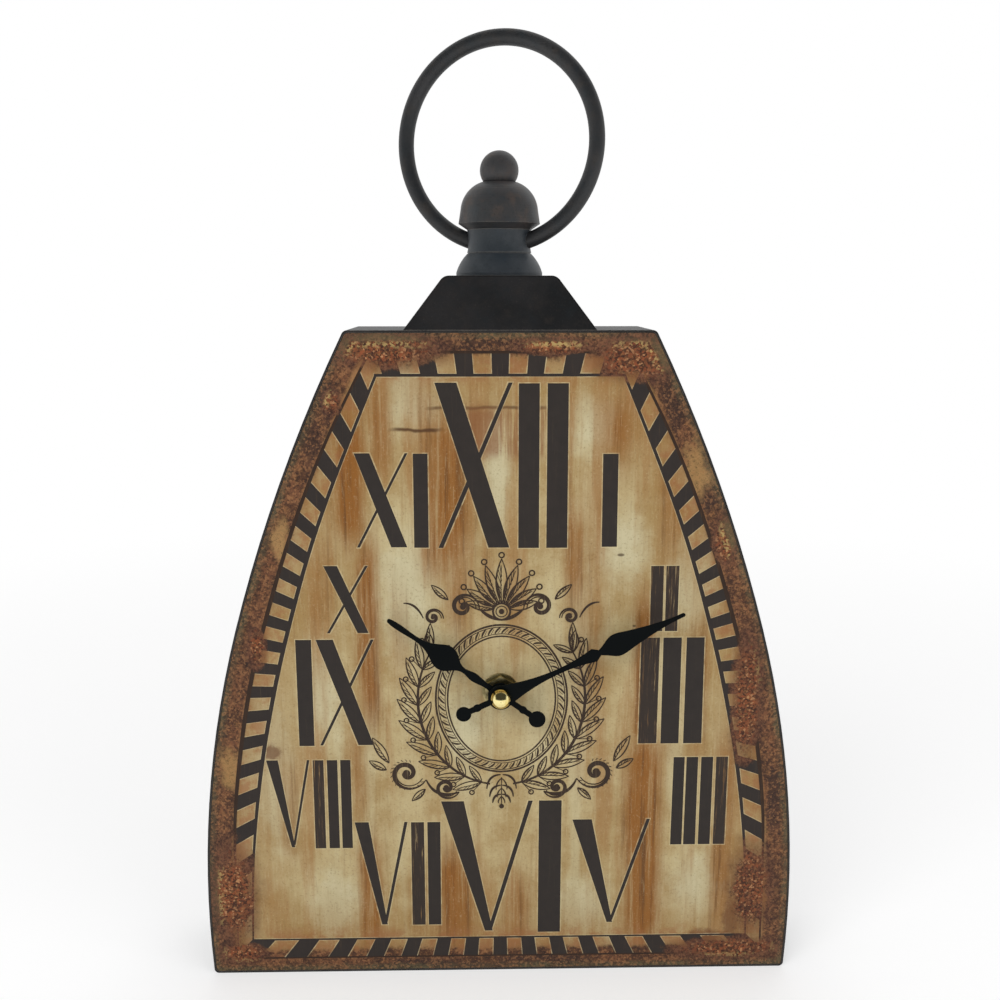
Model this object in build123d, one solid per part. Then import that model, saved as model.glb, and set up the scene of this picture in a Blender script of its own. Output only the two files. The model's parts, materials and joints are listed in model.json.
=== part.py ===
"""Kettlebell clock: a table clock with a bowed trapezoid case, a turned finial and an upright ring.

Frame: origin at the middle of the base, +X to the dial's right, +Y to the back, +Z up.
The dial faces -Y. Lengths are in millimetres, angles in degrees.
"""
import os
from math import asin, cos, hypot, pi, radians, sin, sqrt

from build123d import *

# Clearances
running_fit = 0.05
sheet_gap = 0.1
seat_gap = 0.02

# Case
case_height = 267.0
case_depth = 42.0
widest_half = 120.9
widest_height = 29.0
lower_side_radius = 448.0
side_change_height = 150.0
case_top_half = 58.6
base_corner_radius = 2.0
top_corner_radius = 2.2
band_thickness = 0.8
front_panel_thickness = 1.0
dial_thickness = 0.3
dial_margin = 1.0
back_panel_thickness = 1.0
back_recess = 2.0
access_width = 100.0
access_height = 100.0
access_corner = 12.0

# Tabs and screws of the back panel
tab_heights = (22.0, 130.0, 236.0)
tab_width = 16.0
tab_reach = 13.0
tab_leg = 10.0
tab_thickness = 1.2
tab_screw_inset = 7.0
screw_radius = 1.5
screw_head_radius = 2.9
screw_head_height = 1.5
screw_length = 6.0
screw_slot_width = 0.8
screw_slot_depth = 0.7

# Shoulder
shoulder_height = 20.0
shoulder_base_half = 36.4
shoulder_top_half = 21.0
shoulder_corner = 4.0
shoulder_sheet = 1.2
shoulder_edge = 0.6
shoulder_setback = 0.2

# Finial
flange_radius = 16.7
flange_edge = 1.2
bell_height = 7.2
bell_mid_radius = 15.4
bell_mid_share = 0.44
groove_depth = 0.3
groove_height = 0.35
neck_radius = 12.4
neck_waist = 0.5
neck_height = 9.0
dome_chamfer_height = 2.2
dome_radius = 15.7
dome_side_radius = 14.9
dome_side_height = 5.1
dome_height = 17.6
dome_mid_radius = 12.9
dome_mid_share = 0.56
dome_top_radius = 7.0
dome_spigot_radius = 4.0
dome_spigot_length = 2.0
ball_radius = 7.4
ball_rise = 4.4
ball_tenon_radius = 2.0
ball_tenon_length = 6.0

# Ring
ring_radius = 37.85
ring_wire = 3.0
ring_floor = 0.1
ring_turn = -18.0

# Stud that pulls the finial, the shoulder and the case together
stud_radius = 3.0
stud_into_base = 6.0
stud_tail = 2.4
stud_washer_radius = 7.0
stud_washer_thickness = 1.2
stud_nut_flats = 10.0
stud_nut_height = 5.0

# Dial centre and the stack on it, measured forward from the dial
dial_axis = 124.8
bush_radius = 4.0
bush_reach = 4.0
fixing_washer_radius = 7.2
fixing_washer_thickness = 0.5
fixing_nut_flats = 12.0
fixing_nut_height = 2.4
rubber_radius = 12.0
rubber_thickness = 1.0

# Hands
hand_thickness = 0.5
hand_hub_radius = 5.0
hub_thickness = 1.0
hour_hand_rise = 4.6
minute_hand_rise = 7.2
hour_angle = 305.4
minute_angle = 64.8
hour_length = 54.0
minute_length = 79.1
hour_tip, minute_tip = 0.85, 0.75
hour_tail_reach, hour_tail_radius, hour_tail_half, hour_bead_reach = 17.8, 3.35, 1.1, 10.9
minute_tail_reach, minute_tail_radius, minute_tail_half, minute_bead_reach = 16.1, 3.0, 1.15, 10.2
tail_bead_half, tail_bead_stretch = 1.5, 1.2
# Half widths along the hands, as (distance from the axis, half width)
hour_stations = ((2.5, 2.0), (8.0, 1.1), (13.8, 1.65), (17.4, 0.95), (20.5, 1.8), (23.4, 4.1),
                 (26.6, 5.25), (29.6, 4.6), (33.0, 2.7), (37.0, 1.25), (41.0, 0.9))
minute_stem = ((2.5, 4.3), (13.5, 1.9), (24.0, 1.0), (40.4, 2.75))
minute_neck, minute_neck_half = 42.8, 1.1
minute_stations = ((42.5, 1.0), (45.6, 2.6), (49.2, 4.4), (54.5, 3.9), (62.5, 2.3), (70.0, 1.2))
cap_radius = 3.95
cap_skirt = 1.2
cap_height = 4.6
cap_bore_depth = 2.8
arbor_past_hand = 1.6

# Movement shells; depth runs backwards from the movement's front
movement_half = 28.0
movement_above = 22.0
movement_below = 34.0
movement_depth = 16.0
movement_corner = 3.0
shell_wall = 1.2
bay_wall = 1.0
bay_top = -16.2
bush_flange_radius = 6.0
bush_flange = 0.6
hook_width = 5.0
hook_places = (-18.0, 18.0)

# Arbors and tubes of the movement
hour_tube_radius = 2.5
minute_arbor_radius = 1.6
fine_arbor_radius = 0.4
seconds_arbor_radius = 0.5
knob_arbor_radius = 1.0
post_radius = 0.6
boss_wall = 1.0

# Teeth, and the axes they set
tooth_addendum = 0.9
tooth_dedendum = 1.25
tooth_root_share = 0.55
tooth_tip_share = 0.22
rotor_teeth, step_teeth = 6, 36
step_pinion_teeth, seconds_teeth = 8, 40
seconds_pinion_teeth, third_teeth = 8, 60
third_pinion_teeth, centre_teeth = 8, 64
cannon_teeth, minute_wheel_teeth = 12, 36
minute_pinion_teeth, hour_teeth = 10, 40
knob_teeth = 12
train_module = 0.36
third_distance = 10.2
motion_module = 0.4
third_bearing, step_bearing, rotor_bearing = 165.0, -10.0, -30.0
minute_wheel_bearing, knob_bearing = 75.0, 40.0

# Where each wheel lies in depth
hour_wheel_at = (2.2, 3.0)
minute_pinion_at = (1.9, 3.5)
minute_wheel_at = (3.9, 4.7)
cannon_at = (3.6, 5.05)
collar_at = (5.05, 5.5)
centre_wheel_at = (5.6, 6.3)
spring_at = (6.35, 6.55)
rivet_at = (6.6, 6.8)
third_pinion_at = (5.3, 6.7)
bridge_at = (6.9, 7.5)
seconds_pinion_at = (8.0, 9.6)
third_wheel_at = (8.4, 9.1)
magnet_at = (8.6, 10.8)
step_pinion_at = (10.1, 11.6)
seconds_wheel_at = (10.4, 11.1)
rotor_pinion_at = (11.9, 13.3)
step_wheel_at = (12.2, 12.9)
arbor_rear = 14.2
third_front = 3.0
bridge_pivot_front = 7.0

# Bridge, motor, circuit and battery
collar_radius = 2.3
spring_radius = 4.6
spring_arms = 3
spring_notch = 2.1
bridge_left, bridge_right, bridge_low, bridge_high = -21.0, 18.0, -10.0, 13.0
bridge_bosses = ((-18.5, -8.0), (-19.0, 11.0), (15.5, 11.0), (15.9, -8.4))
bridge_boss_radius = 1.8
bridge_peg_radius = 0.9
bridge_peg_length = 1.0
magnet_radius = 2.5
stator_gap = 0.5
stator_ring = 1.7
stator_thickness = 0.6
coil_x, coil_low, coil_high = 22.0, -1.4, 13.4
coil_radius = 3.6
coil_cheek = 0.8
core_half, core_thickness, core_over = 1.5, 0.8, 4.5
core_front = 8.5
board_low, board_high = -15.9, -10.0
board_half = 24.6
board_front, board_thickness = 12.6, 0.8
board_posts = ((-20.0, -13.0), (19.0, -13.0))
board_post_radius = 1.6
chip_half, chip_height = 2.2, 0.9
crystal_radius, crystal_length = 1.0, 6.0
battery_radius, battery_length = 7.1, 49.2
battery_nub_radius, battery_nub = 2.7, 1.0
battery_floor = 0.2
contact_thickness = 0.4
contact_half = 3.5
contact_gap = 0.1
knob_radius, knob_thickness, knob_gap = 5.0, 3.0, 0.3
knob_flutes, knob_flute_radius = 18, 0.5

rim = -case_depth / 2
movement_front = rim + dial_thickness + front_panel_thickness + rubber_thickness
shoulder_top = case_height + shoulder_height
neck_top = shoulder_top + flange_edge + bell_height + neck_height
ring_centre = neck_top - neck_height + ring_floor + ring_wire + ring_radius


def layer(sketch, front, back):
    """Extrude a sketch drawn in (x, z) from its back depth to its front depth."""
    plane = Plane(origin=(0, back, 0), x_dir=(1, 0, 0), z_dir=(0, -1, 0))
    return extrude(plane * sketch, amount=back - front)


def inner(sketch, depths):
    """A slice of the movement: the sketch is drawn round the dial axis, depths run backwards."""
    front, back = depths
    return layer(Pos(0, dial_axis) * sketch, movement_front + front, movement_front + back)


def rod(centre, radius, depths, bore=0.0):
    """A round slice of the movement, with an optional bore."""
    sketch = Circle(radius)
    if bore:
        sketch -= Circle(bore)
    return inner(Pos(*centre) * sketch, depths)


def block(left, right, low, high):
    """A rectangle between four edges."""
    return Pos((left + right) / 2, (low + high) / 2) * Rectangle(right - left, high - low)


def side_arcs(inset):
    """Centres and radii of the two tangent arcs of the case's right side, moved in by the inset."""
    turn = asin((side_change_height - widest_height) / lower_side_radius)
    normal = (cos(turn), sin(turn))
    low_centre = (widest_half - lower_side_radius, widest_height)
    meet = (low_centre[0] + lower_side_radius * normal[0], side_change_height)
    to_top = (case_top_half - meet[0], case_height - meet[1])
    along = to_top[0] * normal[0] + to_top[1] * normal[1]
    upper_radius = -hypot(*to_top) ** 2 / (2 * along)
    high_centre = (meet[0] - upper_radius * normal[0], meet[1] - upper_radius * normal[1])
    inner_meet = (meet[0] - inset * normal[0], meet[1] - inset * normal[1])
    return (low_centre, lower_side_radius - inset), (high_centre, upper_radius - inset), inner_meet


def side_x(height, inset):
    """Half width of the case at a height, moved in by the inset."""
    low, high, meet = side_arcs(inset)
    centre, radius = low if height < meet[1] else high
    return centre[0] + sqrt(radius**2 - (height - centre[1]) ** 2)


def case_outline(inset=0.0):
    """Front outline of the case, moved in by the inset, with its rounded corners."""
    low_z, high_z = inset, case_height - inset
    meet = side_arcs(inset)[2]
    middle_low, middle_high = (low_z + meet[1]) / 2, (meet[1] + high_z) / 2
    right = [(side_x(z, inset), z) for z in (low_z, middle_low)]
    right += [meet]
    right += [(side_x(z, inset), z) for z in (middle_high, high_z)]
    left = [(-x, z) for x, z in reversed(right)]
    edges = [
        ThreePointArc(*right[0:3]),
        ThreePointArc(*right[2:5]),
        Line(right[4], left[0]),
        ThreePointArc(*left[0:3]),
        ThreePointArc(*left[2:5]),
        Line(left[4], right[0]),
    ]
    sketch = make_face(edges)
    top = [v for v in sketch.vertices() if v.Y > case_height / 2 and abs(v.Y - meet[1]) > 1]
    sketch = fillet(top, max(top_corner_radius - inset, base_corner_radius))
    base = [v for v in sketch.vertices() if v.Y < inset + 1]
    return fillet(base, max(base_corner_radius - inset, band_thickness / 2))


def make_case():
    """Band, front panel, dial and back panel with its tabs and screws."""
    band = layer(case_outline() - case_outline(band_thickness), rim, -rim)
    band -= Pos(0, 0, case_height) * Cylinder(stud_radius + running_fit, 3 * band_thickness)
    let_in = band_thickness + sheet_gap
    bush_hole = Pos(0, dial_axis) * Circle(bush_radius + sheet_gap)
    dial_back = rim + dial_thickness
    parts = {
        "side_band": band,
        "dial_face": layer(case_outline(dial_margin) - bush_hole, rim, dial_back),
        "front_panel": layer(
            case_outline(let_in) - bush_hole, dial_back, dial_back + front_panel_thickness
        ),
    }
    panel_rear = -rim - back_recess
    panel_front = panel_rear - back_panel_thickness
    movement_middle = dial_axis + (movement_above - movement_below) / 2
    access = Pos(0, movement_middle) * RectangleRounded(access_width, access_height, access_corner)
    panel = case_outline(let_in) - access
    tabs, screws = [], []
    leg_front = panel_front - tab_leg
    for height in tab_heights:
        for side in (-1, 1):
            wall = side_x(height, let_in)
            window = Pos(side * (wall - tab_reach / 2), height) * Rectangle(tab_reach * 2, tab_width)
            beyond = Pos(side * (wall - tab_reach * 1.5), height) * Rectangle(tab_reach, tab_width * 2)
            centre = Pos(side * (wall - tab_screw_inset), height)
            flange = case_outline(let_in) & window
            flange = flange - beyond - centre * Circle(screw_radius + running_fit)
            leg = (case_outline(let_in) - case_outline(let_in + tab_thickness)) & window
            tab = layer(flange, panel_front - tab_thickness, panel_front)
            tab += layer(leg, leg_front, panel_front)
            tabs.append(tab)
            panel -= centre * Circle(screw_radius + sheet_gap)
            shank = centre * Circle(screw_radius)
            head = centre * Circle(screw_head_radius)
            screw = layer(shank, panel_rear - screw_length, panel_rear)
            head_rear = panel_rear + screw_head_height
            screw += layer(head, panel_rear, head_rear)
            slot = centre * Rectangle(3 * screw_head_radius, screw_slot_width)
            screw -= layer(slot, head_rear - screw_slot_depth, head_rear)
            screws.append(screw)
    parts["back_panel"] = layer(panel, panel_front, panel_rear)
    parts["panel_tabs"] = Compound(children=tabs)
    parts["panel_screws"] = Compound(children=screws)
    return parts


def shoulder_sketch(inset):
    """Trapezoid of the shoulder in (x, z), moved in by the inset at its slopes and top."""
    run = shoulder_base_half - shoulder_top_half
    slant = inset * hypot(run, shoulder_height) / shoulder_height
    drop = inset * run / shoulder_height
    top = shoulder_top - inset
    low, high = shoulder_base_half - slant, shoulder_top_half - slant + drop
    points = [(-low, case_height), (low, case_height), (high, top), (-high, top)]
    sketch = make_face(Polyline(*points, close=True))
    corners = [v for v in sketch.vertices() if v.Y > case_height + 1]
    return fillet(corners, max(shoulder_corner - inset, shoulder_sheet))


def make_shoulder():
    """Bent sheet shoulder, open underneath, with the stud's hole in its top."""
    half = case_depth / 2 - shoulder_setback
    outer = layer(shoulder_sketch(0), -half, half)
    faces = outer.faces().sort_by(Axis.Y)
    edges = faces[0].edges() + faces[-1].edges()
    rounded = [e for e in edges if e.center().Z > case_height + 1]
    outer = fillet(rounded, shoulder_edge)
    hollow = layer(shoulder_sketch(shoulder_sheet), shoulder_sheet - half, half - shoulder_sheet)
    hole = Pos(0, 0, shoulder_top) * Cylinder(stud_radius + running_fit, 4 * shoulder_sheet)
    return {"shoulder_block": outer - hollow - hole}


def turned(edges):
    """Revolve a profile drawn in (radius, z) about the Z axis."""
    plane = Plane(origin=(0, 0, 0), x_dir=(1, 0, 0), z_dir=(0, -1, 0))
    return revolve(plane * make_face(edges), Axis.Z)


def ring_solid(wire):
    """The ring at its place, with a chosen wire radius."""
    return Pos(0, 0, ring_centre) * Rot(0, 0, ring_turn) * Rot(90, 0, 0) * Torus(ring_radius, wire)


def make_finial():
    """Bell base with its neck, dome, ball and the ring through the neck."""
    foot = shoulder_top
    bell_low = foot + flange_edge
    bell_top = bell_low + bell_height
    groove_top = bell_top + groove_height
    inside = neck_radius - groove_depth
    base = turned([
        Line((0, foot), (flange_radius, foot)),
        Line((flange_radius, foot), (flange_radius, bell_low)),
        ThreePointArc(
            (flange_radius, bell_low),
            (bell_mid_radius, bell_low + bell_height * bell_mid_share),
            (neck_radius, bell_top),
        ),
        Line((neck_radius, bell_top), (inside, bell_top)),
        Line((inside, bell_top), (inside, groove_top)),
        Line((inside, groove_top), (neck_radius, groove_top)),
        ThreePointArc(
            (neck_radius, groove_top),
            (neck_radius - neck_waist, (groove_top + neck_top) / 2),
            (neck_radius, neck_top),
        ),
        Line((neck_radius, neck_top), (0, neck_top)),
        Line((0, neck_top), (0, foot)),
    ])
    base -= ring_solid(ring_wire + running_fit)
    base -= Pos(0, 0, foot + stud_into_base / 2) * Cylinder(stud_radius + running_fit, stud_into_base)
    socket = dome_spigot_length + sheet_gap
    base -= Pos(0, 0, neck_top - socket / 2) * Cylinder(dome_spigot_radius + running_fit, socket)

    shoulder = neck_top + dome_chamfer_height
    dome_top = neck_top + dome_height
    side_top = shoulder + dome_side_height
    curve = dome_top - side_top
    dome = turned([
        Line((0, neck_top), (neck_radius, neck_top)),
        Line((neck_radius, neck_top), (dome_radius, shoulder)),
        Line((dome_radius, shoulder), (dome_side_radius, side_top)),
        ThreePointArc(
            (dome_side_radius, side_top),
            (dome_mid_radius, side_top + curve * dome_mid_share),
            (dome_top_radius, dome_top),
        ),
        Line((dome_top_radius, dome_top), (0, dome_top)),
        Line((0, dome_top), (0, neck_top)),
    ])
    dome += Pos(0, 0, neck_top - dome_spigot_length / 2) * Cylinder(dome_spigot_radius, dome_spigot_length)
    socket = ball_tenon_length + sheet_gap
    dome -= Pos(0, 0, dome_top - socket / 2) * Cylinder(ball_tenon_radius + running_fit, socket)

    ball = Pos(0, 0, dome_top + ball_rise) * Sphere(ball_radius)
    ball -= Pos(0, 0, dome_top - ball_radius) * Box(*[2 * ball_radius] * 3)
    ball += Pos(0, 0, dome_top - ball_tenon_length / 2) * Cylinder(ball_tenon_radius, ball_tenon_length)
    return {
        "finial_base": base,
        "finial_dome": dome,
        "finial_ball": ball,
        "carry_ring": ring_solid(ring_wire),
    }


def make_stud():
    """Stud from the finial down into the case, with its washer and nut."""
    ceiling = case_height - band_thickness
    washer_low = ceiling - stud_washer_thickness
    nut_low = washer_low - stud_nut_height
    top = shoulder_top + stud_into_base - sheet_gap
    low = nut_low - stud_tail
    hole = Circle(stud_radius + running_fit)
    nut = RegularPolygon(stud_nut_flats / 2, 6, major_radius=False) - hole
    return {
        "finial_stud": Pos(0, 0, (top + low) / 2) * Cylinder(stud_radius, top - low),
        "stud_washer": extrude(Pos(0, 0, washer_low) * (Circle(stud_washer_radius) - hole),
                               stud_washer_thickness),
        "stud_nut": extrude(Pos(0, 0, nut_low) * nut, stud_nut_height),
    }


def gear_sketch(teeth, module, phase):
    """Flat-sided teeth round the origin, with one tooth centred at the phase angle."""
    pitch = 2 * pi / teeth
    tip = module * (teeth / 2 + tooth_addendum)
    root = module * (teeth / 2 - tooth_dedendum)
    points = []
    for index in range(teeth):
        middle = radians(phase) + index * pitch
        for radius, share in ((root, -tooth_root_share), (tip, -tooth_tip_share),
                              (tip, tooth_tip_share), (root, tooth_root_share)):
            angle = middle + share * pitch / 2
            points.append((radius * cos(angle), radius * sin(angle)))
    return make_face(Polyline(*points, close=True))


def meshed_phase(teeth, phase, bearing, other_teeth):
    """Phase of a second gear that meshes with a first one along a bearing from first to second."""
    offset = (phase - bearing) % (360 / teeth)
    return bearing + 180 - offset * teeth / other_teeth + 180 / other_teeth


def step_out(centre, distance, bearing):
    """Point at a distance and bearing from a centre."""
    return (centre[0] + distance * cos(radians(bearing)), centre[1] + distance * sin(radians(bearing)))


def centre_distance(module, first, second):
    """Distance between two meshed gears' axes."""
    return module * (first + second) / 2


main = (0.0, 0.0)
third_axis = step_out(main, third_distance, third_bearing)
step_distance = centre_distance(train_module, step_pinion_teeth, seconds_teeth)
step_axis = step_out(main, step_distance, step_bearing)
rotor_axis = step_out(step_axis, centre_distance(train_module, rotor_teeth, step_teeth), rotor_bearing)
motion_distance = centre_distance(motion_module, cannon_teeth, minute_wheel_teeth)
minute_wheel_axis = step_out(main, motion_distance, minute_wheel_bearing)
knob_distance = centre_distance(motion_module, minute_wheel_teeth, knob_teeth)
knob_axis = step_out(minute_wheel_axis, knob_distance, knob_bearing)
seconds_module = 2 * third_distance / (seconds_pinion_teeth + third_teeth)
centre_module = 2 * third_distance / (third_pinion_teeth + centre_teeth)
hour_module = 2 * motion_distance / (minute_pinion_teeth + hour_teeth)


def toothed(centre, teeth, module, phase, depths, bore=0.0):
    """One toothed slice of the movement."""
    sketch = gear_sketch(teeth, module, phase)
    if bore:
        sketch -= Circle(bore)
    return inner(Pos(*centre) * sketch, depths)


def make_train():
    """Going train: rotor, step wheel, seconds wheel, third wheel and centre wheel."""
    rotor_phase = rotor_bearing + 180
    step_phase = meshed_phase(rotor_teeth, rotor_phase, rotor_bearing + 180, step_teeth)
    step_pinion_phase = step_bearing + 180
    seconds_phase = meshed_phase(step_pinion_teeth, step_pinion_phase, step_bearing + 180, seconds_teeth)
    seconds_pinion_phase = third_bearing
    third_phase = meshed_phase(seconds_pinion_teeth, seconds_pinion_phase, third_bearing, third_teeth)
    third_pinion_phase = third_bearing + 180
    centre_phase = meshed_phase(third_pinion_teeth, third_pinion_phase, third_bearing + 180, centre_teeth)

    fine = (bridge_pivot_front, arbor_rear)
    rotor = rod(rotor_axis, fine_arbor_radius, fine) + rod(rotor_axis, magnet_radius, magnet_at)
    rotor += toothed(rotor_axis, rotor_teeth, train_module, rotor_phase, rotor_pinion_at)
    step = rod(step_axis, fine_arbor_radius, fine)
    step += toothed(step_axis, step_teeth, train_module, step_phase, step_wheel_at)
    step += toothed(step_axis, step_pinion_teeth, train_module, step_pinion_phase, step_pinion_at)
    seconds_front = hand_depth(minute_hand_rise + hub_thickness + arbor_past_hand / 2)
    seconds = rod(main, seconds_arbor_radius, (seconds_front, arbor_rear))
    seconds += toothed(main, seconds_teeth, train_module, seconds_phase, seconds_wheel_at)
    seconds += toothed(
        main, seconds_pinion_teeth, seconds_module, seconds_pinion_phase, seconds_pinion_at
    )
    third = rod(third_axis, fine_arbor_radius, (third_front, arbor_rear))
    third += toothed(third_axis, third_teeth, seconds_module, third_phase, third_wheel_at)
    third += toothed(
        third_axis, third_pinion_teeth, centre_module, third_pinion_phase, third_pinion_at
    )
    centre = toothed(
        main, centre_teeth, centre_module, centre_phase, centre_wheel_at,
        minute_arbor_radius + running_fit,
    )
    return {"rotor": rotor, "step_wheel": step, "seconds_wheel": seconds,
            "third_wheel": third, "centre_wheel": centre}


def hand_depth(rise):
    """Movement depth of a place that stands forward of the dial by the rise."""
    return rim - rise - movement_front


def make_motion_work():
    """Minute arbor with its cannon teeth, minute wheel, hour wheel, clutch spring and knob."""
    cannon_phase = minute_wheel_bearing
    wheel_phase = meshed_phase(cannon_teeth, cannon_phase, minute_wheel_bearing, minute_wheel_teeth)
    pinion_phase = minute_wheel_bearing + 180
    hour_phase = meshed_phase(minute_pinion_teeth, pinion_phase, minute_wheel_bearing + 180, hour_teeth)
    knob_phase = meshed_phase(minute_wheel_teeth, wheel_phase, knob_bearing, knob_teeth)

    arbor_front = hand_depth(minute_hand_rise + hub_thickness + arbor_past_hand)
    arbor = rod(main, minute_arbor_radius, (arbor_front, rivet_at[1]))
    arbor += rod(main, collar_radius, collar_at) + rod(main, collar_radius, rivet_at)
    arbor += toothed(main, cannon_teeth, motion_module, cannon_phase, cannon_at)
    arbor -= rod(main, seconds_arbor_radius + running_fit, (arbor_front, rivet_at[1]))

    spring = Circle(spring_radius)
    for index in range(spring_arms):
        turn = Rot(0, 0, 90 + index * 360 / spring_arms)
        spring -= turn * Pos(spring_radius, 0) * Circle(spring_notch)
    spring -= Circle(minute_arbor_radius + running_fit)

    wheel = toothed(minute_wheel_axis, minute_wheel_teeth, motion_module, wheel_phase, minute_wheel_at)
    wheel += toothed(
        minute_wheel_axis, minute_pinion_teeth, hour_module, pinion_phase,
        (minute_pinion_at[0], minute_wheel_at[0]),
    )
    wheel -= rod(minute_wheel_axis, post_radius + running_fit, (0, minute_wheel_at[1]))

    tube_front = hand_depth(hour_hand_rise + hub_thickness + sheet_gap)
    hour = toothed(main, hour_teeth, hour_module, hour_phase, hour_wheel_at)
    hour += rod(main, hour_tube_radius, (tube_front, hour_wheel_at[0]))
    hour -= rod(main, minute_arbor_radius + running_fit, (tube_front, hour_wheel_at[1]))

    knob_front = movement_depth + knob_gap
    knob = rod(knob_axis, knob_arbor_radius, (cannon_at[0] - boss_wall, knob_front))
    knob += toothed(knob_axis, knob_teeth, motion_module, knob_phase, cannon_at)
    grip = Circle(knob_radius)
    for index in range(knob_flutes):
        turn = Rot(0, 0, index * 360 / knob_flutes)
        grip -= turn * Pos(knob_radius, 0) * Rectangle(knob_flute_radius, knob_flute_radius * 2)
    knob += inner(Pos(*knob_axis) * grip, (knob_front, knob_front + knob_thickness))
    return {"minute_arbor": arbor, "friction_spring": inner(spring, spring_at),
            "minute_wheel": wheel, "hour_wheel": hour, "setting_knob": knob}


def shell_outline(inset):
    """Outline of the movement round the dial axis, moved in by the inset."""
    width = 2 * (movement_half - inset)
    height = movement_above + movement_below - 2 * inset
    middle = (movement_above - movement_below) / 2
    return Pos(0, middle) * RectangleRounded(width, height, movement_corner - inset)


def make_shells():
    """Front shell with its posts and battery wall, rear cover, bush and the fixing stack."""
    cover_front = movement_depth - shell_wall
    shell = inner(shell_outline(0), (0, cover_front))
    shell -= inner(shell_outline(shell_wall), (shell_wall, cover_front))
    notch = movement_half - shell_wall - contact_gap - 2 * contact_thickness - contact_gap
    wall = block(-notch, notch, bay_top - bay_wall, bay_top)
    shell += inner(wall, (shell_wall, cover_front))
    for place in bridge_bosses:
        shell += rod(place, bridge_boss_radius, (shell_wall, bridge_at[0]))
        shell += rod(place, bridge_peg_radius, (bridge_at[0], bridge_at[1] + bridge_peg_length))
    for place in board_posts:
        shell += rod(place, board_post_radius, (shell_wall, board_front))
    for height in (coil_low - core_over + core_half, coil_high + core_over - core_half):
        shell += rod((coil_x, height), core_half, (shell_wall, core_front))
    shell += rod(minute_wheel_axis, post_radius, (shell_wall, minute_wheel_at[1] + sheet_gap))
    shell += rod(third_axis, fine_arbor_radius + boss_wall, (shell_wall, third_front + boss_wall))
    shell -= rod(third_axis, fine_arbor_radius + running_fit, (third_front - sheet_gap, movement_depth))
    knob_boss_rear = cannon_at[0] - sheet_gap
    shell += rod(knob_axis, knob_arbor_radius + boss_wall, (shell_wall, knob_boss_rear))
    knob_hole = knob_arbor_radius + running_fit
    shell -= rod(knob_axis, knob_hole, (cannon_at[0] - boss_wall - sheet_gap, knob_boss_rear))
    shell -= rod(main, bush_radius + running_fit, (0, shell_wall))

    cover = inner(shell_outline(0), (cover_front, movement_depth))
    bay_half = movement_half - 2 * shell_wall
    bay = block(-bay_half, bay_half, 2 * shell_wall - movement_below, bay_top - bay_wall)
    cover -= inner(bay, (cover_front, movement_depth))
    cover -= rod(knob_axis, knob_hole, (cover_front, movement_depth))
    for place, radius in ((rotor_axis, fine_arbor_radius), (step_axis, fine_arbor_radius),
                          (third_axis, fine_arbor_radius), (main, seconds_arbor_radius)):
        cover += rod(place, radius + boss_wall, (arbor_rear - boss_wall / 2, cover_front))
        cover -= rod(place, radius + running_fit, (arbor_rear - boss_wall / 2, arbor_rear + sheet_gap))
    for x in hook_places:
        for edge, sign in ((movement_above, 1), (-movement_below, -1)):
            low, high = sorted((edge, edge + sign * shell_wall))
            hook = block(x - hook_width / 2, x + hook_width / 2, low + sign * seat_gap, high)
            cover += inner(hook, (cover_front - 2 * shell_wall, movement_depth))
            root_low, root_high = sorted((edge - sign * shell_wall, edge + sign * shell_wall))
            root = block(x - hook_width / 2, x + hook_width / 2, root_low, root_high)
            cover += inner(root, (cover_front, movement_depth))

    bush_front = hand_depth(bush_reach)
    bush = rod(main, bush_radius, (bush_front, shell_wall))
    bush += rod(main, bush_flange_radius, (shell_wall, shell_wall + bush_flange))
    bush -= rod(main, hour_tube_radius + running_fit, (bush_front, shell_wall + bush_flange))
    on_bush = bush_radius + running_fit
    washer_front = hand_depth(fixing_washer_thickness)
    nut_front = hand_depth(fixing_washer_thickness + fixing_nut_height)
    nut = RegularPolygon(fixing_nut_flats / 2, 6, major_radius=False, rotation=30) - Circle(on_bush)
    return {
        "movement_case": shell,
        "movement_cover": cover,
        "threaded_bush": bush,
        "rubber_washer": rod(main, rubber_radius, (-rubber_thickness, 0), on_bush),
        "fixing_washer": rod(main, fixing_washer_radius, (washer_front, hand_depth(0)), on_bush),
        "fixing_nut": inner(nut, (nut_front, washer_front)),
    }


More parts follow.
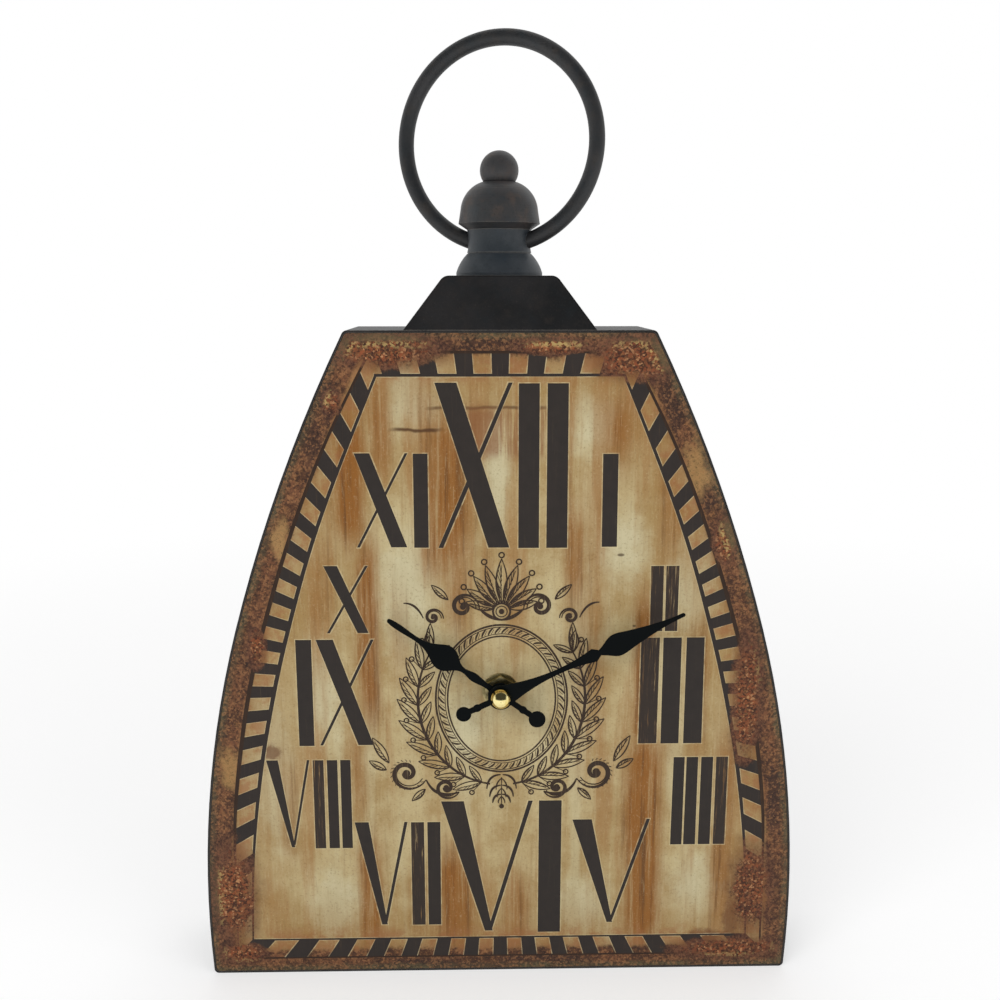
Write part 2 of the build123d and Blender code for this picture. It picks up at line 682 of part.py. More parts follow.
def make_motor():
    """Bridge, stator, coil, core, circuit board, battery and contacts."""
    bridge = block(bridge_left, bridge_right, bridge_low, bridge_high)
    for place in bridge_bosses:
        bridge -= Pos(*place) * Circle(bridge_peg_radius + running_fit)
    for place in (rotor_axis, step_axis, third_axis):
        bridge -= Pos(*place) * Circle(fine_arbor_radius + running_fit)
    bridge -= Circle(seconds_arbor_radius + running_fit)

    hole = magnet_radius + stator_gap
    ring = hole + stator_ring
    core_low, core_high = coil_low - core_over, coil_high + core_over
    core_width = 2 * core_half
    outer = coil_x + core_half
    plate = Pos(*rotor_axis) * Circle(ring)
    plate += block(rotor_axis[0] - core_half, rotor_axis[0] + core_half, rotor_axis[1], core_high)
    plate += block(rotor_axis[0] - core_half, outer, core_high - core_width, core_high)
    plate += block(rotor_axis[0], outer, core_low, core_low + core_width)
    plate -= Pos(*rotor_axis) * Circle(hole)
    core_back = core_front + core_thickness
    core = block(coil_x - core_half, outer, core_low, core_high)
    coil_depth = movement_front + core_front + core_thickness / 2
    coil_length = coil_high - coil_low
    winding = Cylinder(coil_radius - coil_cheek, coil_length)
    for end in (-1, 1):
        shift = end * (coil_length - coil_cheek) / 2
        winding += Pos(0, 0, shift) * Cylinder(coil_radius, coil_cheek)
    winding = Pos(coil_x, coil_depth, dial_axis + (coil_low + coil_high) / 2) * winding
    winding -= inner(offset_block(core_half + running_fit, core_low, core_high),
                     (core_front - running_fit, core_back + running_fit))

    board_back = board_front + board_thickness
    board = inner(block(-board_half, board_half, board_low, board_high), (board_front, board_back))
    board_middle = (board_low + board_high) / 2
    chip = block(-chip_half, chip_half, board_middle - chip_half, board_middle + chip_half)
    board += inner(chip, (board_front - chip_height, board_front))
    crystal = block(-2 * chip_half - crystal_length, -2 * chip_half,
                    board_middle - crystal_radius, board_middle + crystal_radius)
    board += inner(crystal, (board_front - 2 * crystal_radius, board_front))

    bay_floor = -movement_below + shell_wall
    battery_z = (bay_floor + bay_top - bay_wall) / 2
    battery_y = movement_front + shell_wall + battery_floor + battery_radius
    along_x = Pos(0, battery_y, dial_axis + battery_z) * Rot(0, 90, 0)
    battery = along_x * Cylinder(battery_radius, battery_length)
    nub_x = (battery_length + battery_nub) / 2
    battery += along_x * Pos(0, 0, nub_x) * Cylinder(battery_nub_radius, battery_nub)

    plate_out = movement_half - shell_wall - contact_gap
    tongue_back = board_back + contact_gap + contact_thickness
    parts = {
        "train_bridge": inner(bridge, bridge_at),
        "stator": inner(plate, (core_back, core_back + stator_thickness)),
        "coil_core": inner(core, (core_front, core_back)),
        "coil": winding,
        "circuit_board": board,
        "battery": battery,
    }
    middle = battery_y - movement_front
    ends = (("contact_minus", -1, battery_length / 2), ("contact_plus", 1, nub_x + battery_nub / 2))
    for name, side, end in ends:
        spread = (middle - contact_half, tongue_back)
        low, high = battery_z - contact_half, board_high
        edges = sorted((side * (plate_out - contact_thickness), side * plate_out))
        strip = inner(block(*edges, low, high), spread)
        edges = sorted((side * (board_half - contact_half), side * plate_out))
        strip += inner(block(*edges, board_low, board_high), (board_back + contact_gap, tongue_back))
        edges = sorted((side * (end + contact_gap), side * plate_out))
        strip += inner(block(*edges, battery_z - battery_nub, battery_z + battery_nub),
                       (middle - battery_nub, middle + battery_nub))
        parts[name] = strip
    return parts


def offset_block(half, low, high):
    """Rectangle round the coil's middle line."""
    return block(coil_x - half, coil_x + half, low, high)


def blade_outline(stations, length):
    """Hand blade along +Y from stations of (distance, half width), mirrored about its middle line."""
    right = [(half, distance) for distance, half in stations]
    left = [(-half, distance) for distance, half in reversed(stations)]
    side = Spline(*right)
    tip = ThreePointArc(right[-1], (0, length), left[0])
    back = Spline(*left)
    close = Line(left[-1], right[0])
    return make_face([side, tip, back, close])


def hand_sketch(pieces, tail_reach, tail_radius, tail_half, bead_reach, angle):
    """A whole hand: blade pieces, hub and a tail with its bead and disc, turned to its clock angle."""
    sketch = Circle(hand_hub_radius)
    for piece in pieces:
        sketch += piece
    sketch += block(-tail_half, tail_half, -tail_reach, 0)
    sketch += Pos(0, -bead_reach) * Ellipse(tail_bead_half, tail_bead_half * tail_bead_stretch)
    sketch += Pos(0, -tail_reach) * Circle(tail_radius)
    return Rot(0, 0, -angle) * sketch


def minute_blade():
    """Waisted stem up to a sharp collar, then a slim spade and a round tip."""
    right = [(half, distance) for distance, half in minute_stem]
    left = [(-half, distance) for distance, half in reversed(minute_stem)]
    neck = (minute_neck_half, minute_neck), (-minute_neck_half, minute_neck)
    stem = make_face([
        Spline(*right),
        Line(right[-1], neck[0]),
        Line(*neck),
        Line(neck[1], left[0]),
        Spline(*left),
        Line(left[-1], right[0]),
    ])
    stations = [*minute_stations, (minute_length - minute_tip, minute_tip)]
    return [stem, blade_outline(stations, minute_length)]


def hour_blade():
    """Stem with a bead, a broad spade and a straight rod with a round tip."""
    return [blade_outline([*hour_stations, (hour_length - hour_tip, hour_tip)], hour_length)]


def make_hands():
    """Both hands with their collets, and the cap nut."""
    hour = hand_sketch(hour_blade(), hour_tail_reach, hour_tail_radius, hour_tail_half,
                       hour_bead_reach, hour_angle)
    minute = hand_sketch(minute_blade(), minute_tail_reach, minute_tail_radius, minute_tail_half,
                         minute_bead_reach, minute_angle)
    parts = {}
    stacks = (("hour_hand", hour, hour_hand_rise, hour_tube_radius),
              ("minute_hand", minute, minute_hand_rise, minute_arbor_radius))
    for name, sketch, rise, seat in stacks:
        back = hand_depth(rise)
        front = hand_depth(rise + hub_thickness)
        collet = (hand_hub_radius + seat) / 2
        hand = inner(sketch, (back - hub_thickness + hand_thickness / 2, back - hand_thickness / 2))
        hand += rod(main, collet, (front, back))
        hand -= rod(main, seat + seat_gap, (front, back))
        parts[name] = hand
    cap_back = minute_hand_rise + hub_thickness
    cap_front = cap_back + cap_height
    skirt = cap_back + cap_skirt
    bore_end = cap_back + cap_bore_depth
    bore = minute_arbor_radius + running_fit
    dome_rise = cap_front - skirt
    dome_sphere = (cap_radius**2 + dome_rise**2) / (2 * dome_rise)
    half_turn = asin(cap_radius / dome_sphere) / 2
    bulge_point = (dome_sphere * sin(half_turn), cap_front - dome_sphere * (1 - cos(half_turn)))
    cap = turned([
        Line((bore, cap_back), (cap_radius, cap_back)),
        Line((cap_radius, cap_back), (cap_radius, skirt)),
        ThreePointArc((cap_radius, skirt), bulge_point, (0, cap_front)),
        Line((0, cap_front), (0, bore_end)),
        Line((0, bore_end), (bore, bore_end)),
        Line((bore, bore_end), (bore, cap_back)),
    ])
    parts["cap_nut"] = Pos(0, rim, dial_axis) * Rot(90, 0, 0) * cap
    return parts


def main_build():
    """Write every node."""
    os.makedirs("parts", exist_ok=True)
    nodes = {}
    for make in (make_case, make_shoulder, make_finial, make_stud, make_shells,
                 make_train, make_motion_work, make_motor, make_hands):
        nodes.update(make())
    for name, shape in nodes.items():
        export_step(shape, f"parts/{name}.step")
    print(len(nodes), "nodes")


main_build()
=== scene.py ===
"""Looks of the kettlebell clock: printed dial, black painted metal, brass stack and quartz movement.

Everything is in the part's own frame: metres in Blender, millimetres in the numbers below, +Z up,
the dial facing -Y.
"""

import json
from math import asin, cos, hypot, pi, radians, sin
from types import SimpleNamespace

import bmesh
import bpy
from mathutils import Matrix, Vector


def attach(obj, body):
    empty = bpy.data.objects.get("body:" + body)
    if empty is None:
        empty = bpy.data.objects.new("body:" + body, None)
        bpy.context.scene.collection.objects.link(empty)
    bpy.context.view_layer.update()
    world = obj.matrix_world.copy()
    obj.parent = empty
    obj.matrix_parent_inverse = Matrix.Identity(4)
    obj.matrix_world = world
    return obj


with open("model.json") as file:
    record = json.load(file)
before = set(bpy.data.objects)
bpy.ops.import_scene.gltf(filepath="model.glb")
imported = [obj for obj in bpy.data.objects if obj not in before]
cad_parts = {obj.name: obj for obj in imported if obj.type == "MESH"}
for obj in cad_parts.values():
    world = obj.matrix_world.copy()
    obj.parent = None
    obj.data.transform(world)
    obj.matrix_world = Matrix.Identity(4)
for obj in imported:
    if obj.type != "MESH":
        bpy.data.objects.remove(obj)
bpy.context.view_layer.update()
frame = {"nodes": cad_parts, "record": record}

MM = 0.001

# Camera, fitted to the photograph
CAMERA_PLACE = (-0.0083, -0.4216, 0.28266)
CAMERA_PITCH = 11.333
CAMERA_YAW = 1.169
CAMERA_LENS = 38.18
CAMERA_SENSOR = 36.0

# Case outline, for the weathered border
CASE_HEIGHT = 267.0
WIDEST_HALF = 120.9
WIDEST_HEIGHT = 29.0
LOWER_RADIUS = 448.0
SIDE_CHANGE = 150.0
TOP_HALF = 58.6
DIAL_FRONT = -21.0
DIAL_AXIS = 124.8

# Depths and heights inside the movement, for pieces of more than one colour
MOVEMENT_FRONT = DIAL_FRONT + 2.3
MAGNET_DEPTHS = (MOVEMENT_FRONT + 8.6, MOVEMENT_FRONT + 10.8)
BOARD_FRONT = MOVEMENT_FRONT + 12.6
CHIP_HALF = 2.25
CRYSTAL_FROM = -4.3
COIL_HEIGHTS = (DIAL_AXIS - 1.4, DIAL_AXIS + 13.4)
COIL_CHEEK = 0.85
SLEEVE_ENDS = (-24.2, 24.3)
SLEEVE_BAND_FROM = 15.0

# Sockets of the colour mixing node
MIX_IN = (0, 6, 7)
MIX_OUT = 2


# Node graphs

def shade(code):
    """Linear colour from an sRGB hex code."""
    parts = [int(code[i:i + 2], 16) / 255 for i in (0, 2, 4)]
    return tuple(p / 12.92 if p <= 0.04045 else ((p + 0.055) / 1.055) ** 2.4 for p in parts) + (1.0,)


class Value:
    """A number in a node graph; arithmetic on it adds Math nodes."""

    def __init__(self, graph, socket):
        self.graph, self.socket = graph, socket

    def math(self, operation, *others, swap=False):
        node = self.graph.node("ShaderNodeMath", operation=operation)
        items = (*others, self) if swap else (self, *others)
        for slot, item in zip(node.inputs, items):
            self.graph.feed(slot, item)
        return Value(self.graph, node.outputs[0])

    def __add__(self, other):
        return self.math("ADD", other)

    def __sub__(self, other):
        return self.math("SUBTRACT", other)

    def __rsub__(self, other):
        return self.math("SUBTRACT", other, swap=True)

    def __mul__(self, other):
        return self.math("MULTIPLY", other)

    def __truediv__(self, other):
        return self.math("DIVIDE", other)

    def __gt__(self, other):
        return self.math("GREATER_THAN", other)

    def __abs__(self):
        return self.math("ABSOLUTE")

    __radd__, __rmul__ = __add__, __mul__

    def least(self, other):
        return self.math("MINIMUM", other)

    def most(self, other):
        return self.math("MAXIMUM", other)

    def root(self):
        return self.math("SQRT")

    def ease(self, start, end):
        """0 at the start and 1 at the end, with soft ends; the start may be the larger."""
        node = self.graph.node("ShaderNodeMapRange", interpolation_type="SMOOTHSTEP")
        self.graph.feed(node.inputs["Value"], self)
        node.inputs["From Min"].default_value = start
        node.inputs["From Max"].default_value = end
        return Value(self.graph, node.outputs["Result"])

    def within(self, low, high, soft):
        """1 between two limits, 0 outside them."""
        return self.ease(low - soft, low + soft) * self.ease(high + soft, high - soft)


class Graph:
    """One material under construction, with the surface point in millimetres."""

    def __init__(self, name, **sockets):
        self.material = bpy.data.materials.new(name)
        self.material.use_nodes = True
        self.tree = self.material.node_tree
        self.shader = self.tree.nodes["Principled BSDF"]
        point = self.node("ShaderNodeTexCoord").outputs["Object"]
        scale = self.node("ShaderNodeVectorMath", operation="SCALE")
        self.feed(scale.inputs[0], point)
        scale.inputs["Scale"].default_value = 1 / MM
        self.point = scale.outputs[0]
        split = self.node("ShaderNodeSeparateXYZ")
        self.feed(split.inputs[0], self.point)
        self.x, self.y, self.z = (Value(self, o) for o in split.outputs)
        for name, value in sockets.items():
            self.shader.inputs[name.replace("_", " ")].default_value = value

    def node(self, kind, **settings):
        node = self.tree.nodes.new(kind)
        for name, value in settings.items():
            setattr(node, name, value)
        return node

    def feed(self, slot, item):
        if isinstance(item, Value):
            item = item.socket
        if isinstance(item, bpy.types.NodeSocket):
            self.tree.links.new(item, slot)
        else:
            slot.default_value = item

    def stretched(self, size, offset=0.0):
        """The point divided by a size for each axis, moved along by an offset."""
        size = size if isinstance(size, tuple) else (size,) * 3
        node = self.node("ShaderNodeVectorMath", operation="MULTIPLY_ADD")
        self.feed(node.inputs[0], self.point)
        node.inputs[1].default_value = tuple(1 / s for s in size)
        node.inputs[2].default_value = (offset, 0.37 * offset, 0.71 * offset)
        return node.outputs[0]

    def noise(self, size, detail=3.0, offset=0.0, rough=0.55, warp=0.0):
        node = self.node("ShaderNodeTexNoise")
        self.feed(node.inputs["Vector"], self.stretched(size, offset))
        node.inputs["Scale"].default_value = 1.0
        node.inputs["Detail"].default_value = detail
        node.inputs["Roughness"].default_value = rough
        node.inputs["Distortion"].default_value = warp
        return Value(self, node.outputs[0])

    def cells(self, size, feature="F1", offset=0.0):
        """Distance field of Voronoi cells."""
        node = self.node("ShaderNodeTexVoronoi", feature=feature)
        self.feed(node.inputs["Vector"], self.stretched(size, offset))
        node.inputs["Scale"].default_value = 1.0
        return Value(self, node.outputs["Distance"])

    def grit(self, size, offset=0.0):
        """A chance value for each grain."""
        node = self.node("ShaderNodeTexVoronoi")
        self.feed(node.inputs["Vector"], self.stretched(size, offset))
        node.inputs["Scale"].default_value = 1.0
        split = self.node("ShaderNodeSeparateXYZ")
        self.feed(split.inputs[0], node.outputs["Color"])
        return Value(self, split.outputs[0])

    def mix(self, factor, first, second):
        """Colour from first to second; a hex code stands for its colour."""
        node = self.node("ShaderNodeMix", data_type="RGBA")
        for slot, item in zip(MIX_IN, (factor, first, second)):
            self.feed(node.inputs[slot], shade(item) if isinstance(item, str) else item)
        return node.outputs[MIX_OUT]

    def coated(self, colour, *coats):
        """A colour under coats, each a factor and a colour."""
        for factor, coat in coats:
            colour = self.mix(factor, colour, coat)
        return colour

    def out_of(self, spots):
        """Distance from the nearest oval spot on the dial: 0 in its middle, 1 at its edge."""
        nearest = None
        for x, z, half_x, half_z in spots:
            across = (self.x - x) / half_x
            up = (self.z - z) / half_z
            one = (across * across + up * up).root()
            nearest = one if nearest is None else nearest.least(one)
        return nearest

    def edge_wear_and_highlight(self, radius):
        """Brighter near the solid's own edges: worn edges, and on the black paint also a painted
        highlight along bends and rims.
        """
        bevel = self.node("ShaderNodeBevel", samples=6)
        bevel.inputs["Radius"].default_value = radius * MM
        face = self.node("ShaderNodeNewGeometry").outputs["Normal"]
        dot = self.node("ShaderNodeVectorMath", operation="DOT_PRODUCT")
        self.feed(dot.inputs[0], bevel.outputs[0])
        self.feed(dot.inputs[1], face)
        return (1.0 - Value(self, dot.outputs["Value"])).ease(0.01, 0.22)

    def done(self, colour, roughness=None, height=None, distance=0.02, metallic=None):
        self.feed(self.shader.inputs["Base Color"], colour)
        if roughness is not None:
            self.feed(self.shader.inputs["Roughness"], roughness)
        if metallic is not None:
            self.feed(self.shader.inputs["Metallic"], metallic)
        if height is not None:
            bump = self.node("ShaderNodeBump")
            bump.inputs["Distance"].default_value = distance * MM
            bump.inputs["Strength"].default_value = 1.0
            self.feed(bump.inputs["Height"], height)
            self.feed(self.shader.inputs["Normal"], bump.outputs[0])
        return self.material


# Printed dial

def case_arcs():
    """Centre and radius of the lower and upper arc of the case's side."""
    turn = asin((SIDE_CHANGE - WIDEST_HEIGHT) / LOWER_RADIUS)
    low = (WIDEST_HALF - LOWER_RADIUS, WIDEST_HEIGHT, LOWER_RADIUS)
    meet_x = low[0] + LOWER_RADIUS * cos(turn)
    run, rise = TOP_HALF - meet_x, CASE_HEIGHT - SIDE_CHANGE
    radius = -(run * run + rise * rise) / (2 * (run * cos(turn) + rise * sin(turn)))
    return low, (meet_x - radius * cos(turn), SIDE_CHANGE - radius * sin(turn), radius)


# Vertical rust runs in the paper: x, half width, lowest z, highest z, strength
RUNS = (
    (-57.5, 5.5, 186, 236, 1.15), (-46.0, 4.5, 212, 247, 0.8), (-21.0, 8.5, 172, 236, 1.0),
    (-17.0, 5.0, 150, 186, 0.7), (-5.0, 2.6, 156, 182, 0.4), (24.0, 4.5, 190, 246, 0.45),
    (35.0, 6.5, 112, 214, 0.4), (29.0, 4.0, 160, 202, 0.8), (-52.0, 4.5, 112, 186, 0.95),
    (-40.0, 3.5, 130, 168, 0.4), (57.5, 4.5, 98, 164, 0.95), (58.5, 7.5, 12, 104, 1.15),
    (33.0, 3.6, 86, 128, 0.4), (92.0, 5.0, 18, 104, 0.75), (-58.0, 4.5, 70, 108, 0.5),
    (-53.0, 5.0, 12, 60, 0.95), (-34.0, 3.5, 14, 46, 0.5), (-19.0, 7.5, 12, 56, 1.0),
    (46.0, 5.5, 216, 244, 0.85), (66.0, 5.0, 180, 222, 0.6), (-86.0, 4.0, 56, 96, 0.45),
    (7.0, 5.0, 12, 44, 0.55), (-70.0, 4.5, 150, 186, 0.4), (79.0, 4.0, 98, 150, 0.5),
)
# Bleached places in the paper: x, z, half width, half height
BLEACHED = ((-34, 242, 12, 14), (-36, 168, 11, 26), (-68, 30, 11, 15), (34, 30, 11, 13), (80, 38, 10, 16),
            (-2, 214, 6, 24), (-92, 90, 8, 34), (-14, 108, 8, 15), (74, 166, 9, 18), (36, 232, 9, 12),
            (48, 184, 9, 14), (-72, 122, 8, 22))
# Grainy red rust on the border: x, z, half width, half height
RUSTY = ((-44, 260, 17, 6), (52, 257, 14, 7), (99, 120, 5, 21), (104, 36, 7, 17), (-110, 36, 8, 18),
         (96, 9, 19, 4), (-108, 9, 8, 4), (-96, 143, 3, 7), (88, 186, 4, 8), (20, 261, 12, 2.5),
         (-64, 240, 3, 4))
# Dark stains: x, z, half width, half height
STAINED = ((-72, 226, 5, 12), (-66, 240, 5, 8), (66, 240, 6, 13), (-112, 130, 5, 26), (113, 78, 5, 18),
           (81, 203, 4, 6), (86, 13, 10, 5), (20, 4, 22, 3), (-30, 3, 24, 3),
           (-92, 99, 4, 4), (-6, 262, 16, 4), (97, 22, 4, 13), (80, 219, 2.5, 6), (-119, 66, 2.5, 34))
# Light tan places on the border: x, z, half width, half height
TAN = ((76, 214, 7, 15), (-85, 186, 4, 10), (-8, 256, 22, 3), (106, 62, 4, 10), (-109, 92, 5, 10))
# Small dark marks on the paper: x, z, half width, half height
MARKS = ((47.1, 180.3, 1.6, 0.7), (53.0, 151.3, 0.8, 0.5), (-21.0, 238.0, 0.5, 0.5))
# Creases across the paper: left x, right x, z, strength
CREASES = ((-41, -23, 229.6, 0.9), (-27, 18, 238.0, 0.7))


def edge_distance(g):
    """Distance from a point of the dial to the case's outline."""
    across = abs(g.x)
    inset = []
    for centre_x, centre_z, radius in case_arcs():
        dx, dz = across - centre_x, g.z - centre_z
        inset.append(radius - (dx * dx + dz * dz).root())
    upper = g.z > SIDE_CHANGE
    side = inset[0] + (inset[1] - inset[0]) * upper
    return side.least(CASE_HEIGHT - g.z).least(g.z)


def dial_noises(g):
    """The noises that the paper, the border and the rust share, from fine to coarse."""
    return SimpleNamespace(
        grain=g.noise(0.9, 4, 3.0, 0.75),
        speck=g.noise(1.0, 4, 31.0, 0.78),
        grit=g.grit(0.8, 6.0),
        mottle=g.noise(3.0, 6, 29.0, 0.78),
        blot=g.noise(7.0, 5, 17.0, 0.68),
        cloud=g.noise(24.0, 5, 8.0, 0.65),
        fibre=g.noise((0.7, 0.7, 9.0), 4, 9.0, 0.7),
        fine=g.noise((2.2, 2.2, 60.0), 5, 11.0, 0.65),
        coarse=g.noise((12.0, 12.0, 130.0), 5, 5.0, 0.55),
    )


def rust_runs(g, fine):
    """Strength of the vertical rust runs."""
    runs = None
    wander = (g.noise((30.0, 30.0, 24.0), 2, 23.0) - 0.5) * 5.0
    for x, half, bottom, top, strength in RUNS:
        lane = abs(g.x + wander - x).ease(half * 1.7, half * 0.2)
        one = lane * g.z.within(bottom, top, 14.0) * strength
        runs = one if runs is None else runs.most(one)
    return runs * (fine.ease(0.3, 0.6) * 0.35 + 0.75)


def paper_colour(g, n, edge):
    """Aged paper: bleached places, rust runs, grain, creases and marks."""
    bleached = (g.out_of(BLEACHED) + (n.blot - 0.5) * 1.6 + (n.fine - 0.5)).ease(1.5, 0.2)
    shaded = (edge + (n.coarse - 0.5) * 50.0).ease(42.0, 16.0)
    runs = rust_runs(g, n.fine)
    paper = g.coated(
        g.mix(n.cloud.ease(0.36, 0.64), "a0875a", "b5a379"),
        (bleached * 0.8, "c2ba98"),
        (n.coarse.ease(0.5, 0.63) * 0.6, "936a3c"),
        (n.coarse.ease(0.47, 0.34) * 0.4, "c2ba96"),
        (shaded * 0.5, "8f6c38"),
        (runs.least(1.0) * 0.9, "845018"),
        ((runs * n.fine.ease(0.5, 0.7)).least(1.0) * 0.8, "55341a"),
        (n.fine.ease(0.55, 0.72) * 0.25, "7d5c34"),
        (n.fine.ease(0.44, 0.3) * 0.2, "c3b58c"),
        (n.fibre.ease(0.56, 0.74) * 0.25, "7c6440"),
        (n.fibre.ease(0.44, 0.3) * 0.2, "c8bb94"),
        (n.grain.ease(0.54, 0.7) * 0.5, "765d38"),
        (n.grain.ease(0.44, 0.3) * 0.22, "cdc09a"),
    )
    ripple = (g.noise(9.0, 3, 41.0) - 0.5) * 2.4
    for left, right, height, strength in CREASES:
        line = abs(g.z - height + ripple).ease(1.0, 0.15) * g.x.within(left, right, 3.0)
        paper = g.mix(line * strength, paper, "4d321d")
    drips = g.z.within(219.0, 238.0, 3.0) * g.x.within(-16, 18, 4.0) * n.fine.ease(0.36, 0.56)
    marks = g.out_of(MARKS).ease(1.15, 0.55)
    return g.coated(paper, (drips * 0.7, "7c4c2c"), (marks * 0.8, "4a3a2a"))


def border_colour(g, n, edge, stain):
    """Granular mottled brown, tan and stained in places, olive at the outer edge."""
    tan = (g.out_of(TAN) + (n.blot - 0.5) * 1.4).ease(1.15, 0.5)
    olive = (edge + (n.mottle - 0.5) * 5.0).ease(4.4, 1.6) * (n.cloud.ease(0.4, 0.56) * 0.5 + 0.4)
    grained = (1.0 - tan * 0.7) * n.blot.ease(0.3, 0.5)
    return g.coated(
        g.mix(n.blot.ease(0.38, 0.62), "472f22", "6b4630"),
        (n.mottle.ease(0.5, 0.64) * 0.7, "835c3a"),
        (n.mottle.ease(0.47, 0.34) * 0.8, "33251e"),
        (tan * 0.8, g.mix(n.coarse, "ac8a5c", "94703f")),
        (stain * 0.72, "3a2a24"),
        (olive, g.mix(n.speck, "3b3628", "6a5f44")),
        (n.grit.ease(0.72, 0.8) * grained * 0.4, "9c6f4a"),
        (n.grit.ease(0.3, 0.22) * grained * 0.5, "291d18"),
        (n.speck.ease(0.56, 0.64) * 0.6, "8c5d3a"),
        (n.speck.ease(0.45, 0.38) * 0.6, "2a1e19"),
    )


def rust_colour(g, n, edge):
    """Red rust in grains, olive where it comes near the outer edge."""
    tone = g.grit(0.75, 2.0)
    flake = (edge + (n.mottle - 0.5) * 4.0).within(4.0, 6.2, 0.8) * n.grit.ease(0.5, 0.6)
    outer = (edge + (n.mottle - 0.5) * 3.0).ease(4.8, 3.2)
    return g.coated(
        g.mix(n.mottle.ease(0.4, 0.6), "4a2d20", "7a4a2f"),
        (tone.ease(0.6, 0.7) * 0.7, "8c4c2f"),
        (tone.ease(0.32, 0.22) * 0.8, "32201a"),
        (tone.ease(0.88, 0.94) * 0.7, "b98c62"),
        (n.speck.ease(0.54, 0.64) * 0.4, "a98350"),
        (flake * 0.8, "b39a62"),
        (outer * 0.8, g.mix(n.speck, "443d2c", "756a4a")),
    )


def weathering(g):
    """Colour of the whole dial, colour of its border, where the rust covers the ink, and a height."""
    n = dial_noises(g)
    edge = edge_distance(g)
    stain = (g.out_of(STAINED) + (n.mottle - 0.5) * 1.6).ease(1.25, 0.5)
    rust = g.out_of(RUSTY) + (n.blot - 0.5) * 1.2
    rusty = (rust + (n.speck - 0.5) * 1.4).ease(1.25, 0.6)
    halo = rust.ease(1.8, 1.1)
    patchy = n.mottle.ease(0.38, 0.56) * 0.5 + n.blot.ease(0.38, 0.56) * 0.5
    border = g.coated(
        border_colour(g, n, edge, stain),
        (halo * 0.7, g.mix(n.speck.ease(0.4, 0.6), "33231f", "694636")),
        (rusty * (patchy * 0.6 + 0.4), rust_colour(g, n, edge)),
    )
    frayed = edge + (n.blot - 0.5) * 6.0 + (n.speck - 0.5) * 2.5
    paper = g.coated(
        paper_colour(g, n, edge),
        (edge.ease(23.0, 15.0) * n.blot.ease(0.42, 0.6) * 0.6, "8d5a38"),
        (frayed.ease(16.0, 9.0) * 0.45, "7d5434"),
        (stain.most(halo * 0.7) * 0.7, g.mix(n.speck, "4f2e1f", "70452b")),
    )
    inside = frayed.ease(9.0, 11.4) * (1.0 - rusty)
    cover = rusty.most(halo * 0.8).most(stain * n.blot.ease(0.5, 0.62) * 0.4)
    pebble = g.cells(0.75, "F1", 2.0)
    height = n.grain * 0.2 + n.mottle * (1.0 - inside) * 0.8 + rusty * pebble * 0.8
    return g.mix(inside, border, paper), border, cover, height


def print_material():
    g = Graph("dial_print", Specular_IOR_Level=0.2)
    colour, _, cover, height = weathering(g)
    front = g.y.ease(DIAL_FRONT + 0.12, DIAL_FRONT + 0.06)
    colour = g.mix(front, "6f6b62", colour)
    return g.done(colour, 0.5 + cover * 0.2, height, 0.03)


def ink_material(name, code, worn, faded):
    """Ink on the dial: worn gives vertical scratches, faded lets the paper show through."""
    g = Graph(name, Specular_IOR_Level=0.15)
    colour, border, cover, height = weathering(g)
    tint = g.noise(4.0, 3, 51.0)
    ink = g.mix(tint * 0.4, code, "423a35")
    scratch = g.noise((0.6, 0.6, 14.0), 4, 61.0, 0.7)
    rub = g.mix(scratch.ease(0.6, 0.7), "5b4733", colour)
    flake = g.noise(0.9, 4, 67.0, 0.75)
    bare = (scratch.ease(0.52, 0.64) * worn + flake.ease(0.68, 0.76) * 0.35 + faded).least(1.0)
    ink = g.mix(bare, ink, rub)
    ink = g.mix(cover.ease(0.35, 0.75), ink, border)
    return g.done(ink, 0.45 + tint * 0.1, height, 0.02)


def edge_material():
    g = Graph("print_edge", Specular_IOR_Level=0.2)
    colour, _, cover, height = weathering(g)
    pale = g.mix(g.noise(3.0, 3, 71.0).ease(0.3, 0.7) * 0.5 + 0.35, "c6b78f", colour)
    return g.done(g.mix(cover.ease(0.2, 0.5), pale, colour), 0.5, height, 0.02)


# Flat pieces of ink

# How far each strip lies over the one before it, and how far each kind of ink stands off the dial
LAYER = 0.0002
TRACK_EDGE_RISE, NUMERAL_EDGE_RISE, MEDALLION_RISE, INK_RISE, LINE_RISE = 0.01, 0.015, 0.02, 0.04, 0.056


